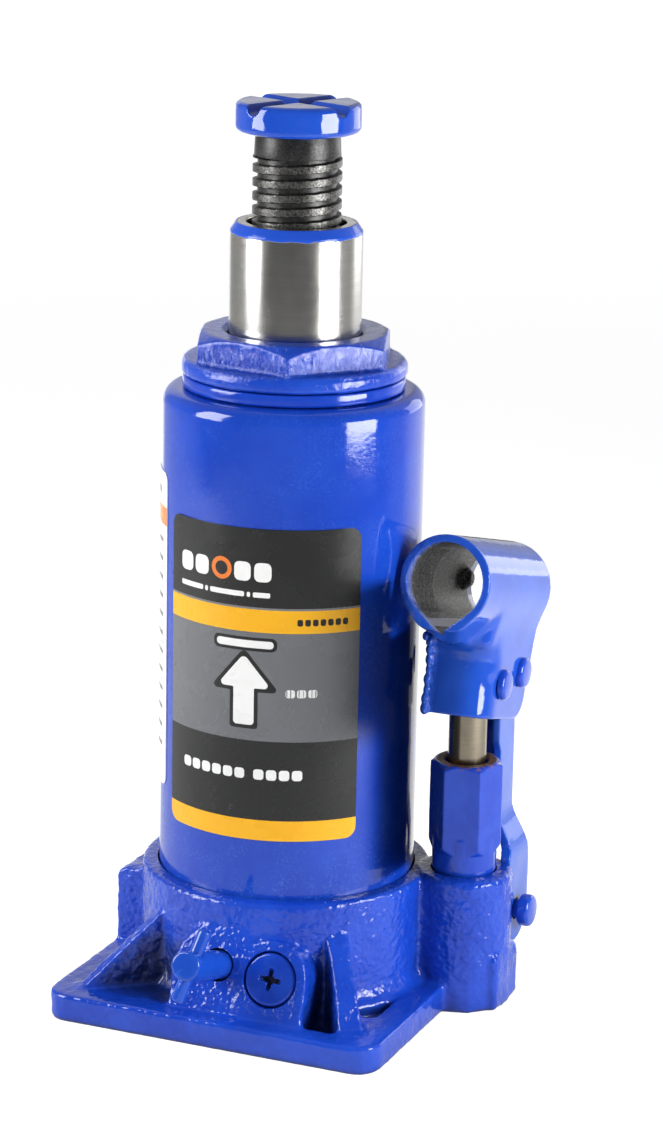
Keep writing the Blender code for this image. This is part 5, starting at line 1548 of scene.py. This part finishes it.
def studio_world():
    """Even dim light; reflections see it brighter behind the jack and in the lobes."""
    world = bpy.data.worlds.new("studio")
    bpy.context.scene.world = world
    net = Net(world)
    background = net.tree.nodes["Background"]
    path = net.node("LightPath")
    flat = net.node("VectorMath", operation='MULTIPLY')
    net.put(flat.inputs[0], net.node("TexCoord").outputs["Generated"])
    flat.inputs[1].default_value = (1.0, 1.0, 0.0)
    unit = net.node("VectorMath", operation='NORMALIZE')
    net.put(unit.inputs[0], flat.outputs[0])
    total = net.ramp(net.dot(unit.outputs[0], (*TO_CAMERA, 0.0)), (-0.45, 0.45),
                     (BACK_GLOW, 0.13))
    for lobe_x, lobe_y, edge, core, gain in LOBES:
        facing = net.dot(unit.outputs[0], (lobe_x, lobe_y, 0.0))
        total = net.add(total, net.ramp(facing, (edge, core), (0.0, gain * 0.45)))
    strength = net.lerp(path.outputs["Is Glossy Ray"], 0.16, total)
    net.put(background.inputs["Strength"], strength)
    background.inputs["Color"].default_value = (1.0, 1.0, 1.0, 1)


def softbox(name, turn, distance, low, high, width, radiance):
    """Upright rectangular light facing the axis; turn is in degrees from the camera's side."""
    light = bpy.data.lights.new(name, 'AREA')
    light.shape = 'RECTANGLE'
    light.size, light.size_y = width, high - low
    light.energy = radiance * math.pi * width * (high - low)
    light.color = (1, 1, 1)
    ob = put(light, name)
    target = Vector((0, 0, (low + high) / 2))
    ob.location = Vector((*bearing(turn), 0)) * distance + target
    ob.rotation_euler = (target - ob.location).to_track_quat('-Z', 'Y').to_euler()
    ob.visible_camera = False
    return ob


def shade_card(unshaded):
    """Black card that keeps the right-hand light off the tank wall beside the lever."""
    outline = ((-46, 44), (6, 44), (6, 116), (-12, 116), (-12, 134), (-46, 134))
    bm = bmesh.new()
    bm.faces.new([bm.verts.new((40.6 * MM, y * MM, z * MM)) for y, z in outline])
    card = put_bmesh(bm, "shade_card")
    net = Material("black_card")
    high = net.ramp(net.xyz[2], (0.084, 0.092))
    color = net.mix(net.noise(6, detail=2, rough=0.5), (0.02, 0.02, 0.02), (0.03, 0.03, 0.03))
    alpha = net.lerp(high, net.ramp(net.xyz[1], (-0.022, -0.012), (0.0, 0.95)),
                     net.ramp(net.xyz[1], (-0.046, -0.020), (0.0, 0.95)))
    card.data.materials.append(net.shader(Base_Color=color, Roughness=0.9, Alpha=alpha))
    card.visible_camera = False
    spared = bpy.data.collections.new("not_shading_left")
    spared.objects.link(card)
    spared.collection_objects[0].light_linking.link_state = 'EXCLUDE'
    unshaded.light_linking.blocker_collection = spared


def lights():
    left = softbox("softbox_left", turn=-77.0, distance=0.70, low=0.12, high=0.80, width=0.34,
                   radiance=9.5)
    softbox("softbox_right", turn=59.5, distance=0.46, low=0.077, high=0.31, width=0.235,
            radiance=13.5)
    shade_card(unshaded=left)
    # a pale panel at the right rear, seen only as a reflection in the top of the lever tube
    panel = softbox("panel_rear", turn=134.0, distance=1.0, low=0.06, high=0.60, width=0.55,
                    radiance=1.7)
    panel.visible_diffuse = False
    fill = softbox("fill_front", turn=-8.0, distance=1.5, low=0.25, high=0.95, width=0.9,
                   radiance=1.1)
    fill.visible_glossy = False


def camera():
    data = bpy.data.cameras.new("camera")
    data.lens = 110.74
    data.clip_start, data.clip_end = 0.01, 100
    ob = put(data, "camera")
    place = Matrix(CAMERA_AXES).transposed().to_4x4()
    place.translation = Vector(CAMERA_AT)
    ob.matrix_world = place
    scene = bpy.context.scene
    scene.camera = ob
    scene.view_settings.view_transform = 'Standard'
    scene.view_settings.look = 'None'


for step in (base_casting, tank, gasket, nut, wiper, ram, screw, saddle, pump, plunger, socket,
             link, pins, release_valve, overload_plug, filler, front_label, side_label,
             carried_over, paper_floor, studio_world, lights, camera):
    step()
